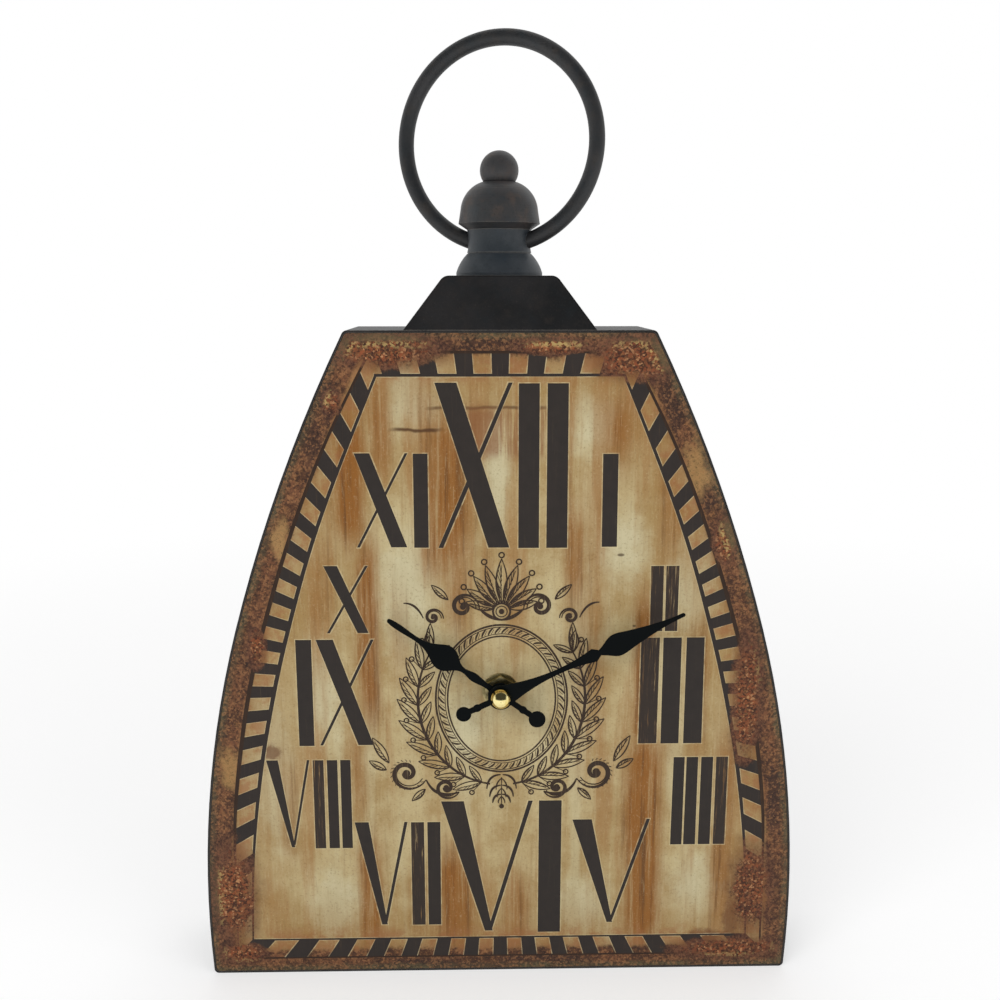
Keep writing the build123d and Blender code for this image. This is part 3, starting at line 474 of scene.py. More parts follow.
class Slab:
    """A mesh of thin closed pieces laid on the dial; shapes are drawn in (x, z) millimetres."""

    def __init__(self, name, rise, material, weight=1.0):
        self.name, self.rise, self.material, self.weight = name, rise, material, weight
        self.mesh = bmesh.new()

    def strip(self, left, right):
        """Closed piece between two edges with the same number of points; each lies over the last."""
        rows = []
        self.rise += LAYER
        for a, b in zip(left, right):
            rows.append([self.mesh.verts.new((x * MM, y * MM, z * MM))
                         for y in (DIAL_FRONT - self.rise, DIAL_FRONT) for x, z in (a, b)])
        for near, far in zip(rows, rows[1:]):
            for i, j in ((0, 1), (1, 3), (3, 2), (2, 0)):
                self.mesh.faces.new((near[i], near[j], far[j], far[i]))
        for end in (rows[0], rows[-1]):
            self.mesh.faces.new([end[i] for i in (0, 1, 3, 2)])

    def stroke(self, points, start, middle, end=None):
        """Pen stroke along points; its width swells from the start to the middle and thins again."""
        end = start if end is None else end
        count = len(points) - 1
        left, right = [], []
        for i, (x, z) in enumerate(points):
            before, after = points[max(i - 1, 0)], points[min(i + 1, count)]
            dx, dz = after[0] - before[0], after[1] - before[1]
            length = hypot(dx, dz) or 1.0
            swell = sin(pi * i / count)
            base = start + (end - start) * i / count
            half = (base + (middle - base) * swell) / 2 * self.weight
            left.append((x - dz / length * half, z + dx / length * half))
            right.append((x + dz / length * half, z - dx / length * half))
        self.strip(left, right)

    def dot(self, x, z, radius, sides=10):
        turn = [pi * (i + 0.5) / sides for i in range(sides)]
        left = [(x - radius * sin(t), z + radius * cos(t)) for t in turn]
        right = [(x + radius * sin(t), z + radius * cos(t)) for t in turn]
        self.strip(left, right)

    def ring(self, x, z, radius, width, sides=16):
        loop = [(x + radius * cos(2 * pi * i / sides), z + radius * sin(2 * pi * i / sides))
                for i in range(sides + 1)]
        self.stroke(loop, width, width)

    def finish(self, body="root"):
        bmesh.ops.recalc_face_normals(self.mesh, faces=self.mesh.faces)
        data = bpy.data.meshes.new(self.name)
        self.mesh.to_mesh(data)
        self.mesh.free()
        data.materials.append(self.material)
        piece = bpy.data.objects.new(self.name, data)
        bpy.context.scene.collection.objects.link(piece)
        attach(piece, body)
        return piece


# Numeral strokes: top left x, top right x, top z, bottom left x, bottom right x, bottom z
NUMERALS = {
    "XII": ((-24.9, -16.6, 247.5, -4.6, 3.5, 183.5), (3.1, 4.7, 247.5, -24.0, -22.2, 183.5),
            (7.0, 14.9, 247.2, 7.0, 15.0, 183.3), (17.9, 25.9, 247.2, 17.9, 26.0, 183.3)),
    "I": ((39.4, 45.3, 220.2, 39.5, 45.4, 183.6),),
    "V": ((29.6, 37.6, 68.4, 44.6, 46.9, 21.6), (60.2, 61.6, 68.4, 45.6, 46.9, 22.6)),
    "VI": ((-24.2, -14.9, 77.0, -6.4, -3.2, 18.3), (11.5, 13.3, 77.0, -5.0, -3.4, 19.4),
           (15.8, 25.1, 77.0, 15.7, 25.0, 17.4)),
    "IX": ((-80.9, -74.7, 146.4, -80.8, -74.8, 101.7), (-72.9, -66.1, 146.4, -57.1, -51.0, 101.9),
           (-51.2, -50.0, 146.4, -72.5, -71.3, 101.9)),
    "X": ((-68.9, -63.6, 176.4, -56.2, -51.9, 149.1), (-52.7, -51.6, 176.4, -68.3, -67.2, 149.1)),
    "XI": ((-55.9, -50.0, 220.7, -42.3, -36.1, 183.8), (-36.5, -35.4, 220.7, -55.6, -54.5, 183.8),
           (-33.4, -27.8, 220.5, -33.4, -27.8, 183.6)),
    "III": ((64.8, 72.1, 146.4, 64.9, 72.2, 101.5), (74.1, 81.2, 146.4, 74.1, 81.5, 101.5)),
    "IIII": ((70.5, 75.0, 95.5, 70.2, 74.9, 56.8), (75.8, 80.5, 95.5, 75.6, 80.5, 56.8),
             (81.8, 86.6, 95.5, 81.7, 86.6, 56.8)),
    "VII": ((-59.6, -53.9, 68.1, -49.3, -47.0, 21.7), (-39.3, -38.0, 68.1, -48.3, -47.1, 22.8),
            (-29.9, -24.6, 67.9, -29.9, -24.7, 21.4)),
    "VIII": ((-94.5, -89.8, 95.6, -85.5, -84.2, 57.3), (-78.1, -77.1, 95.6, -84.9, -84.0, 58.4),
             (-70.1, -65.9, 95.5, -70.1, -65.9, 56.7), (-64.7, -60.6, 95.5, -64.8, -60.6, 56.7)),
}
WORN_BARS = ((59.1, 64.1, 175.8, 59.3, 64.2, 149.1), (65.1, 70.2, 175.8, 65.2, 70.1, 149.1),
             (56.0, 63.4, 146.4, 55.8, 63.2, 101.6), (87.9, 92.7, 95.5, 87.9, 92.7, 56.8),
             (-36.6, -31.3, 67.9, -36.6, -31.2, 21.4), (-75.8, -71.5, 95.5, -75.8, -71.5, 56.7))

# Half width of the minute track's two lines at a height
INNER_HALF = ((10.0, 103.6), (15.2, 103.3), (52.8, 101.4), (91.4, 96.6), (129.2, 89.0), (162.3, 80.2),
              (186.0, 72.8), (211.0, 63.4), (250.3, 46.9), (262.0, 41.5))
OUTER_HALF = ((0.0, 109.9), (6.7, 109.7), (65.3, 108.5), (98.8, 104.6), (131.2, 98.5), (164.0, 89.3),
              (194.7, 79.0), (224.0, 66.9), (252.0, 52.8), (268.0, 44.0))
INNER_LOW, INNER_HIGH = 15.2, 250.3
OUTER_LOW, OUTER_HIGH = 6.7, 258.9
# Width of the two lines at a height
LINE_WIDTH = ((0.0, 0.65), (14.0, 0.7), (30.0, 0.9), (60.0, 1.1), (90.0, 1.6), (150.0, 1.7), (215.0, 1.4),
              (250.0, 1.1), (268.0, 1.0))
LINE_STEPS = 40
BARS = 60
BAR_SHARE = 0.475
# Pale rim of paper beside the ink
BAR_RIM = radians(0.16)
LINE_RIM = 0.3
NUMERAL_RIM = 0.4
# Search for a track line: bisections, and a distance outside the dial
BISECTIONS = 26
FAR_OUT = 200.0


def smooth(table, z):
    """Value at z on a smooth curve through the table's (z, value) rows."""
    last = len(table) - 2
    k = min(max(sum(row[0] <= z for row in table) - 1, 0), last)
    p = [table[min(max(k + i, 0), last + 1)] for i in (-1, 0, 1, 2)]
    t = (z - p[1][0]) / (p[2][0] - p[1][0])
    span = p[2][0] - p[1][0]
    slopes = [(b[1] - a[1]) / (b[0] - a[0]) * span for a, b in ((p[0], p[2]), (p[1], p[3]))]
    return (p[1][1] * (2 * t**3 - 3 * t**2 + 1) + slopes[0] * (t**3 - 2 * t**2 + t)
            + p[2][1] * (3 * t**2 - 2 * t**3) + slopes[1] * (t**3 - t**2))


def reach(angle, table, low, high):
    """Distance from the dial's axis to one of the track's lines, along an angle from twelve."""
    near, far = 0.0, FAR_OUT
    for _ in range(BISECTIONS):
        middle = (near + far) / 2
        x, z = middle * sin(angle), DIAL_AXIS + middle * cos(angle)
        if low < z < high and abs(x) < smooth(table, z):
            near = middle
        else:
            far = middle
    return near * sin(angle), DIAL_AXIS + near * cos(angle)


def build_track(ink, brown, edge):
    """Sixty bars between the track's two lines, each with a pale edge to the paper."""
    bars = Slab("track_bars", INK_RISE, ink)
    pale = Slab("track_edges", TRACK_EDGE_RISE, edge)
    half = BAR_SHARE * pi / BARS
    for index in range(BARS):
        middle = 2 * pi * index / BARS
        for slab, angle in ((bars, half), (pale, half + BAR_RIM)):
            spread = [middle + angle * t for t in (-1, -0.5, 0, 0.5, 1)]
            slab.strip([reach(a, INNER_HALF, INNER_LOW, INNER_HIGH) for a in spread],
                       [reach(a, OUTER_HALF, OUTER_LOW, OUTER_HIGH) for a in spread])
    for name, material, table, low, high in (
            ("track_inner_line", ink, INNER_HALF, INNER_LOW, INNER_HIGH),
            ("track_outer_line", brown, OUTER_HALF, OUTER_LOW, OUTER_HIGH)):
        line = Slab(name, LINE_RISE, material)
        heights = [low + (high - low) * i / LINE_STEPS for i in range(LINE_STEPS + 1)]
        rims = ((line, 0.0), (pale, LINE_RIM)) if material == ink else ((line, 0.0),)
        for slab, grow in rims:
            for side in (-1, 1):
                halves = [smooth(LINE_WIDTH, z) / 2 + grow for z in heights]
                slab.strip([(side * (smooth(table, z) - h), z) for z, h in zip(heights, halves)],
                           [(side * (smooth(table, z) + h), z) for z, h in zip(heights, halves)])
            for z in (low, high):
                rise = smooth(LINE_WIDTH, z) / 2 + grow
                half_line = smooth(table, z) + rise
                slab.strip([(-half_line, z - rise), (half_line, z - rise)],
                           [(-half_line, z + rise), (half_line, z + rise)])
        line.finish()
    bars.finish()
    pale.finish()


def add_bar(slab, bar, grow=0.0):
    top_left, top_right, top, low_left, low_right, low = bar
    slab.strip([(low_left - grow, low - grow), (top_left - grow, top + grow)],
               [(low_right + grow, low - grow), (top_right + grow, top + grow)])


def build_numerals(ink, worn, edge):
    """Bars of the numerals, some of them worn, and a pale rim round each."""
    plain_bars = [bar for bars in NUMERALS.values() for bar in bars]
    for name, rise, material, bars, grow in (
            ("numerals", INK_RISE, ink, plain_bars, 0.0),
            ("worn_numeral_bars", INK_RISE, worn, WORN_BARS, 0.0),
            ("numeral_edges", NUMERAL_EDGE_RISE, edge, (*WORN_BARS, *plain_bars), NUMERAL_RIM)):
        slab = Slab(name, rise, material)
        for bar in bars:
            add_bar(slab, bar, grow)
        slab.finish()


# Medallion round the dial's middle: wreath, rope frame, fan and scrolls

MEDAL_X, MEDAL_Z = 0.5, 121.0
PEN_WEIGHT = 1.3
# Rope frame: half width and half height of its four ovals, with their line widths
ROPE_OVALS = ((21.6, 26.4, 0.5), (22.6, 27.4, 0.26), (25.4, 30.2, 0.3), (26.3, 31.1, 0.62))
ROPE_STEPS = 72
ROPE_STRANDS = 54
# Wreath: half width and half height of its stem and of the berries' oval, and the leaves' reach
WREATH, BERRIES = (33.5, 36.8), (39.0, 42.2)
LEAF_OUT, LEAF_IN = 8.6, 5.4
LEAF_PAIRS = 10
# Middles of the scrolls: two below the wreath, two under the fan
LARGE_SCROLL, SMALL_SCROLL = (38.5, -31.5), (22.5, -38.0)
INNER_SCROLL, OUTER_SCROLL = (15.2, 38.6), (27.0, 34.4)
# Fan: height of its foot, petals to each side, angle between petals
FAN_FOOT = 37.0
FAN_SIDE_PETALS = 4
FAN_STEP = 19
# Drop under the frame: height and size of each cup
DROP_CUPS = ((-33.0, 1.0), (-37.6, 0.8), (-41.4, 0.6))
LEAF_STEPS = 10


def at(x, z):
    """A point of the medallion on the dial."""
    return MEDAL_X + x, MEDAL_Z + z


def on_oval(angle, half_x, half_z, side=1):
    """A point of an oval, its angle from the top and to one side."""
    return at(side * half_x * sin(angle), half_z * cos(angle))


def along(start, bend, end, count=10):
    """Points on a quadratic curve."""
    points = []
    for i in range(count + 1):
        t = i / count
        points.append(tuple((1 - t) ** 2 * a + 2 * t * (1 - t) * b + t * t * c
                            for a, b, c in zip(start, bend, end)))
    return points


def spiral(x, z, wide, narrow, start, sweep, count=26):
    """Points that wind in from a wide to a narrow radius, angles in degrees."""
    points = []
    for i in range(count + 1):
        t = i / count
        radius = wide * (narrow / wide) ** t
        angle = radians(start + sweep * t)
        points.append((x + radius * cos(angle), z + radius * sin(angle)))
    return points


def leaf(slab, base, tip, width, hatch=5):
    """Pointed leaf with a rib, hatched on one side."""
    dx, dz = tip[0] - base[0], tip[1] - base[1]
    length = hypot(dx, dz)
    nx, nz = -dz / length, dx / length
    middle = (base[0] + dx * 0.45, base[1] + dz * 0.45)
    sides = []
    for sign in (-1, 1):
        bend = (middle[0] + nx * width * sign, middle[1] + nz * width * sign)
        sides.append(along(base, bend, tip, LEAF_STEPS))
        slab.stroke(sides[-1], 0.28, 0.5 if sign > 0 else 0.38)
    rib = along(base, (middle[0] + nx * width * 0.12, middle[1] + nz * width * 0.12),
                (base[0] + dx * 0.86, base[1] + dz * 0.86), 6)
    slab.stroke(rib, 0.3, 0.26, 0.12)
    for i in range(hatch):
        t = (i + 1) / (hatch + 2)
        k = min(int(t * LEAF_STEPS), LEAF_STEPS - 1)
        foot = (base[0] + dx * t * 0.8, base[1] + dz * t * 0.8)
        slab.stroke([foot, sides[1][min(k + 2, LEAF_STEPS)]], 0.24, 0.2, 0.14)


def mirrored_stroke(slab, side, points, *widths):
    """Stroke through points of the medallion, drawn on one side."""
    slab.stroke([at(side * x, z) for x, z in points], *widths)


def draw_rope(slab):
    turns = [2 * pi * i / ROPE_STEPS for i in range(ROPE_STEPS + 1)]
    for half_x, half_z, width in ROPE_OVALS:
        slab.stroke([on_oval(t, half_x, half_z) for t in turns], width, width)
    for i in range(ROPE_STRANDS):
        t = 2 * pi * i / ROPE_STRANDS
        strand = along(on_oval(t, 22.8, 27.6), on_oval(t + 0.035, 24.4, 29.2),
                       on_oval(t + 0.1, 25.2, 30.0), 5)
        slab.stroke(strand, 0.3, 0.62)
        slab.stroke([on_oval(t + 0.05, 22.9, 27.7), on_oval(t + 0.11, 24.6, 29.4)], 0.16, 0.2)


def draw_wreath(slab, side):
    """A stem with pairs of leaves and berries."""
    def point(degrees, out=0.0):
        return on_oval(radians(degrees), WREATH[0] + out, WREATH[1] + out, side)

    slab.stroke([point(d) for d in range(56, 173, 4)], 0.4, 0.9, 0.6)
    for step in range(LEAF_PAIRS):
        d = 166 - step * 12
        scale = 1.0 - 0.03 * abs(step - 4)
        root = point(d)
        leaf(slab, root, point(d - 17 * scale, LEAF_OUT * scale), 3.6 * scale)
        leaf(slab, root, point(d - 15 * scale, -LEAF_IN * scale), 2.8 * scale, 4)
        berry = on_oval(radians(d - 4), *BERRIES, side)
        slab.stroke([root, berry], 0.22, 0.2)
        slab.ring(*berry, 0.95, 0.42, 10)
    tip = point(50)
    leaf(slab, point(58), (tip[0] + side * 3.5, tip[1] + 5.0), 3.4)


def draw_scrolls(slab, side, scrolls, start, sweep, count, tail):
    """Scrolls given by their middle, wide and narrow radius and line width."""
    for (x, z), wide, narrow, thick in scrolls:
        curl = spiral(x, z, wide, narrow, start, sweep, count)
        mirrored_stroke(slab, side, curl, 0.3, thick, tail)


def draw_lower_scrolls(slab, side):
    """Scrolls wound outwards under the wreath."""
    scrolls = ((LARGE_SCROLL, 8.4, 1.5, 1.5), (LARGE_SCROLL, 6.8, 1.3, 0.4),
               (SMALL_SCROLL, 5.6, 1.1, 1.2), (SMALL_SCROLL, 4.5, 1.0, 0.36))
    draw_scrolls(slab, side, scrolls, 200, 520, 40, 0.5)
    x, z = LARGE_SCROLL
    for i in range(16):
        t = radians(208 + i * 17)
        outer, inner = 7.9 - 0.14 * i, 6.9 - 0.13 * i
        mirrored_stroke(slab, side, [(x + outer * cos(t), z + outer * sin(t)),
                                     (x + inner * cos(t + 0.12), z + inner * sin(t + 0.12))], 0.2, 0.24)
    slab.dot(*at(side * x, z), 1.5)
    slab.dot(*at(side * SMALL_SCROLL[0], SMALL_SCROLL[1]), 1.2)
    mirrored_stroke(slab, side, along((30.6, -34.4), (27.0, -43.5), (17.2, -39.9), 12), 0.4, 1.0)
    leaf(slab, at(side * 45.5, -27.0), at(side * 52.0, -16.0), 3.4)
    leaf(slab, at(side * 46.6, -30.0), at(side * 53.5, -26.0), 2.8, 4)
    leaf(slab, at(side * 31.0, -38.5), at(side * 36.5, -43.6), 2.4, 4)


def draw_upper_scrolls(slab, side):
    """Scrolls that carry the fan."""
    scrolls = ((INNER_SCROLL, 6.6, 1.2, 1.3), (INNER_SCROLL, 5.3, 1.0, 0.36),
               (OUTER_SCROLL, 4.2, 0.9, 1.0), (OUTER_SCROLL, 3.3, 0.8, 0.32))
    draw_scrolls(slab, side, scrolls, 188, -500, 36, 0.45)
    slab.dot(*at(side * INNER_SCROLL[0], INNER_SCROLL[1]), 1.2)
    slab.dot(*at(side * OUTER_SCROLL[0], OUTER_SCROLL[1]), 0.9)
    mirrored_stroke(slab, side, along((8.6, 37.6), (4.6, 33.6), (0, 33.2), 10), 0.5, 1.1)
    mirrored_stroke(slab, side, along((30.8, 34.0), (33.6, 40.5), (38.5, 40.2), 10), 0.3, 0.7)
    leaf(slab, at(side * 21.0, 41.5), at(side * 27.5, 47.5), 2.6, 4)


def draw_fan(slab):
    """Petals, each with a ring at its tip, spread from a rosette."""
    def petal_point(angle, reach_out):
        return at(reach_out * sin(angle), FAN_FOOT + reach_out * cos(angle))

    for step in range(-FAN_SIDE_PETALS, FAN_SIDE_PETALS + 1):
        t = radians(step * FAN_STEP)
        length = 21.0 - 1.6 * abs(step)
        tip = petal_point(t, length)
        leaf(slab, petal_point(t, 3.0), tip, 4.3 - 0.2 * abs(step), 6)
        slab.ring(tip[0] + 1.5 * sin(t), tip[1] + 1.5 * cos(t), 1.05, 0.42, 10)
        if step < FAN_SIDE_PETALS:
            gap = t + radians(FAN_STEP / 2)
            slab.stroke([petal_point(gap, 6.0), petal_point(gap, length - 7.5)], 0.2, 0.26)
    rosette = at(0, FAN_FOOT - 0.4)
    for radius, width in ((3.4, 0.6), (2.2, 0.3)):
        slab.ring(*rosette, radius, width, 20)
    slab.dot(*rosette, 1.1)


def draw_drop(slab):
    """Cups hung under the frame, each smaller than the last."""
    for level, size in DROP_CUPS:
        for side in (-1, 1):
            for curve, widths in ((along((0.4, 0.6), (5.6, 0.4), (6.0, -5.6), 10), (0.3, 0.7)),
                                  (along((0, -1.0), (2.4, -3.0), (2.2, -6.0), 8), (0.22, 0.42))):
                mirrored_stroke(slab, side, [(x * size, level + z * size) for x, z in curve], *widths)
        slab.stroke([at(0, level - 0.6 * size), at(0, level - 6.4 * size)], 0.3, 0.5, 0.2)
    slab.dot(*at(0, -46.3), 1.0)


def build_medallion(material):
    slab = Slab("medallion", MEDALLION_RISE, material, PEN_WEIGHT)
    draw_rope(slab)
    for side in (-1, 1):
        draw_wreath(slab, side)
        draw_lower_scrolls(slab, side)
        draw_upper_scrolls(slab, side)
    draw_fan(slab)
    draw_drop(slab)
    return slab.finish()


# Materials of the solids

def black_paint(name, shine, dark, even, brown, blue, turning=0.0):
    """Satin black paint in four tones, slightly rubbed and with a painted highlight at the edges, over
    sheet or turned rings.
    """
    g = Graph(name, Specular_IOR_Level=shine)
    broad = g.noise(24.0, 4, 1.0, 0.6)
    patchy = g.noise(6.0, 5, 2.0, 0.65)
    peel = g.noise(0.9, 3, 3.0, 0.5)
    dust = g.noise(0.45, 2, 4.0, 0.6)
    rings = g.noise((30.0, 30.0, 0.35), 3, 7.0, 0.6)
    colour = g.mix(broad.ease(0.35, 0.65), dark, even)
    colour = g.mix(patchy.ease(0.48, 0.72) * 0.6, colour, brown)
    colour = g.mix(patchy.ease(0.47, 0.3) * 0.5, colour, blue)
    colour = g.mix(dust.ease(0.6, 0.74) * 0.2, colour, "4b4642")
    colour = g.mix(peel.ease(0.42, 0.3) * 0.35, colour, "0a0b0c")
    # Lighter along edges and bends: partly rubbed paint, partly a painted highlight.
    worn = g.edge_wear_and_highlight(0.7) * (patchy * 0.6 + dust * 0.9).ease(0.45, 0.8)
    colour = g.mix(worn * 0.65, colour, "6b6660")
    rough = 0.4 + patchy * 0.16 + worn * 0.12
    return g.done(colour, rough, peel + patchy * 0.6 + rings * turning, 0.03)


def hand_paint():
    g = Graph("hand_enamel", Specular_IOR_Level=0.05)
    broad = g.noise(9.0, 4, 5.0)
    peel = g.noise(0.6, 3, 6.0)
    worn = g.edge_wear_and_highlight(0.25) * broad.ease(0.5, 0.62)
    colour = g.mix(broad, "06090a", "0c0f10")
    colour = g.mix(worn * 0.3, colour, "3a3834")
    return g.done(colour, 0.36 + broad * 0.14, peel, 0.012)


def turned_brass(name, light, dark, base_rough, ring_size):
    """Brass with fine turning rings about the dial's axis."""
    g = Graph(name, Metallic=1.0)
    dz = g.z - DIAL_AXIS
    radius = (g.x * g.x + dz * dz).root()
    wave = (radius / ring_size).math("SINE")
    stain = g.noise(3.4, 4, 12.0, 0.6)
    hair = g.noise((0.8, 3.0, 0.25), 3, 14.0)
    colour = g.mix(stain.ease(0.35, 0.72), light, dark)
    colour = g.mix(g.edge_wear_and_highlight(0.2) * 0.3, colour, "fbe9a8")
    return g.done(colour, base_rough + stain * 0.1 + hair * 0.05, wave * 0.3 + hair * 0.5, 0.004)


def plated_steel(name, light, dark, grain_size, rough):
    g = Graph(name, Metallic=1.0)
    spangle = g.cells(1.6, "F1", 3.0)
    hair = g.noise(grain_size, 4, 15.0)
    tarnish = g.noise(4.0, 4, 16.0, 0.6)
    colour = g.mix(tarnish.ease(0.4, 0.7), light, dark)
    colour = g.mix(spangle.ease(0.2, 0.7) * 0.2, colour, "8d8f90")
    return g.done(colour, rough + hair * 0.12 + tarnish * 0.08, hair, 0.006)


def moulded(name, light, dark, rough, speckle=0.8, **sockets):
    """Moulded plastic with a fine spark-eroded surface and slight flow marks."""
    g = Graph(name, **sockets)
    flow = g.noise((14.0, 6.0, 5.0), 4, 21.0, 0.6, 0.8)
    fine = g.noise(speckle, 3, 22.0, 0.6)
    colour = g.mix(flow.ease(0.3, 0.7), light, dark)
    colour = g.mix(fine.ease(0.62, 0.78) * 0.2, colour, light)
    colour = g.mix(g.edge_wear_and_highlight(0.3) * 0.25, colour, "a8a59e")
    return g.done(colour, rough + fine * 0.14, fine, 0.015)


def rotor_plastic():
    """White pinion moulded on a dark ferrite magnet, told apart by depth."""
    g = Graph("rotor_parts")
    magnet = g.y.within(*MAGNET_DEPTHS, 0.02)
    grain = g.noise(0.5, 4, 24.0, 0.7)
    white = g.mix(g.noise(2.0, 3, 25.0), "e8e5db", "d2cdbf")
    dark = g.mix(grain, "2b2a2c", "47454a")
    return g.done(g.mix(magnet, white, dark), 0.38 + grain * 0.2, grain, 0.01)


def winding():
    """Enamelled copper wire wound about the coil's upright axis, with moulded cheeks."""
    g = Graph("copper_winding", Coat_Weight=0.4)
    turn = (g.z / 0.028).math("SINE")
    tone = g.noise((5.0, 5.0, 0.35), 4, 26.0)
    copper = g.mix(tone.ease(0.3, 0.7), "a2562a", "c97c3d")
    # Darker in the grooves between the turns: painted shade.
    copper = g.mix(turn.ease(-0.2, -1.0) * 0.6, copper, "4d2412")
    low, high = COIL_HEIGHTS[0] + COIL_CHEEK, COIL_HEIGHTS[1] - COIL_CHEEK
    cheek = g.z.ease(low, low - 0.07).most(g.z.ease(high, high + 0.07))
    colour = g.mix(cheek, copper, g.mix(tone, "26272a", "33343a"))
    return g.done(colour, 0.3 + tone * 0.15, turn, 0.012, (1.0 - cheek) * 0.8)


def board():
    """Green circuit board with copper runs, black chip and a can for the crystal."""
    g = Graph("circuit_parts")
    weave = g.cells((2.6, 50.0, 1.3), "DISTANCE_TO_EDGE", 7.0)
    cloud = g.noise(3.0, 4, 27.0)
    green = g.mix(cloud, "12502c", "1d6b3c")
    green = g.mix(weave.ease(0.1, 0.05), green, "3f8a4a")
    pads = g.cells((3.1, 50.0, 2.4), "F1", 4.0).ease(0.2, 0.15)
    green = g.mix(pads, green, "c9c6b8")
    front = g.y.ease(BOARD_FRONT - 0.03, BOARD_FRONT - 0.1)
    chip = front * g.x.within(-CHIP_HALF, CHIP_HALF, 0.02)
    can = front * g.x.ease(CRYSTAL_FROM, CRYSTAL_FROM - 0.1)
    colour = g.mix(chip, green, g.mix(cloud, "151515", "242426"))
    colour = g.mix(can, colour, g.mix(cloud, "b9bcbd", "8f9394"))
    return g.done(colour, 0.32 + cloud * 0.2, weave, 0.01, can * 0.9)


def cell_sleeve():
    """Plain dark cell sleeve with a lighter band at the positive end and bare metal ends."""
    g = Graph("cell_sleeve", Coat_Weight=0.5)
    cloud = g.noise((8.0, 2.0, 2.0), 3, 28.0)
    scuff = g.noise((9.0, 0.5, 0.5), 4, 29.0, 0.7)
    sleeve = g.mix(cloud, "1d2126", "2a2f36")
    band = g.x.ease(SLEEVE_BAND_FROM, SLEEVE_BAND_FROM + 0.2)
    sleeve = g.mix(band, sleeve, g.mix(cloud, "b57a38", "9a632a"))
    sleeve = g.mix(scuff.ease(0.63, 0.75) * 0.4, sleeve, "6a6a68")
    left, right = SLEEVE_ENDS
    bare = g.x.ease(right, right + 0.15).most(g.x.ease(left, left - 0.15))
    colour = g.mix(bare, sleeve, g.mix(cloud, "c4c6c6", "9c9fa0"))
    return g.done(colour, 0.3 + scuff * 0.2, scuff, 0.008, bare)


def rubber():
    g = Graph("washer_rubber", Specular_IOR_Level=0.3)
    bloom = g.noise(3.0, 4, 33.0, 0.6)
    fine = g.noise(0.5, 3, 34.0)
    colour = g.mix(bloom.ease(0.4, 0.7), "1c1c1c", "333231")
    return g.done(colour, 0.75 + fine * 0.15, fine, 0.02)


# One black paint in four copies: the sheet copy is darkest. The ring, the finial's foot and its dome and
# ball get lighter base colours, painted light that stands in for highlights on these rounded parts.
paint = black_paint("black_paint", 0.28, "0b0c0e", "1b1a1b", "221d1a", "0d1418")
turned_paint_lit = black_paint("black_paint_turned_lit", 0.5, "2d2e2f", "383535", "493c33", "272e33", 3.0)
foot_paint_lit = black_paint("black_paint_foot_lit", 0.5, "22292e", "2d3237", "373c40", "1f2b35", 3.0)
ring_paint_lit = black_paint("black_paint_ring_lit", 0.45, "1f2123", "2a2a2b", "322d29", "1a2126")
brass_flat = turned_brass("brass_turned", "cfc08e", "90855a", 0.3, 0.05)
zinc = plated_steel("zinc_plate", "c3c5c4", "9a9c9b", (0.4, 0.4, 5.0), 0.28)
black_plastic = moulded("movement_plastic", "17181a", "222326", 0.48)
wheels = moulded("wheel_plastic", "ded9cb", "efece2", 0.34, 0.6, Subsurface_Weight=0.12,
                 Subsurface_Scale=0.001)
by_slot = {
    "black_metal": paint,
    "dial_print": print_material(),
    "hand_black": hand_paint(),
    "brass": brass_flat,
    "zinc_steel": zinc,
    "movement_black": black_plastic,
    "white_plastic": wheels,
    "copper_coil": winding(),
    "board_green": board(),
    "battery_sleeve": cell_sleeve(),
    "washer_rubber": rubber(),
}
by_node = {
    "cap_nut": turned_brass("brass_polished", "fbecaa", "ecd47e", 0.06, 0.09),
    "stator": plated_steel("stator_steel", "a7a9a8", "7f8180", (6.0, 0.4, 0.4), 0.36),
    "coil_core": plated_steel("core_steel", "9fa1a0", "78797a", (0.4, 0.4, 6.0), 0.38),
    "rotor": rotor_plastic(),
    "carry_ring": ring_paint_lit,
    "finial_base": foot_paint_lit,
    "finial_dome": turned_paint_lit,
    "finial_ball": turned_paint_lit,
}
for part in frame["record"]["subparts"]:
    data = frame["nodes"][part["node"]].data
    data.materials.clear()
    data.materials.append(by_node.get(part["node"], by_slot[part["material_slot"]]))

pale_edge = edge_material()
numeral_ink = ink_material("numeral_ink", "2b2725", 0.03, 0.0)
build_track(ink_material("track_ink", "2c2725", 0.06, 0.0), ink_material("line_ink", "2e1e15", 0.1, 0.04),
            pale_edge)
build_numerals(numeral_ink, ink_material("worn_ink", "302925", 0.7, 0.03), pale_edge)
build_medallion(ink_material("fine_ink", "33271f", 0.2, 0.04))


# Floor, world, lamps and camera

# Name, place, edge and power of each lamp, in metres and watts
LAMPS = (("key", (-0.9, -1.2, 1.3), 1.0, 14.0), ("fill", (1.2, -1.0, 0.9), 1.2, 8.0),
         ("top", (0.1, 0.5, 1.7), 1.2, 8.0))
LAMP_AIM = (0, 0, 0.17)
WHITE, DIM, DARK = (1, 1, 1, 1), (0.5, 0.5, 0.5, 1), (0.05, 0.05, 0.05, 1)
FLOOR_TONES = (0.965, 0.965, 0.965, 1), (0.98, 0.98, 0.98, 1)
# The floor glows white this much near the clock, fully from the second distance on
FLOOR_GLOW = 0.45
FLOOR_FADE = (260.0, 900.0)
# Sides of the dark opening in reflections: axis, direction where it starts, where it is full
OPENING = ((0, -0.98, -0.8), (0, 0.98, 0.8), (1, 0.15, -0.05), (2, -0.12, 0.12))


def seen_directly(tree):
    """1 for the rays that the camera, gloss and glass send out."""
    path = tree.nodes.new("ShaderNodeLightPath")
    total = path.outputs["Is Camera Ray"]
    for name in ("Is Glossy Ray", "Is Transmission Ray"):
        node = tree.nodes.new("ShaderNodeMath")
        node.operation = "MAXIMUM"
        tree.links.new(total, node.inputs[0])
        tree.links.new(path.outputs[name], node.inputs[1])
        total = node.outputs[0]
    return total


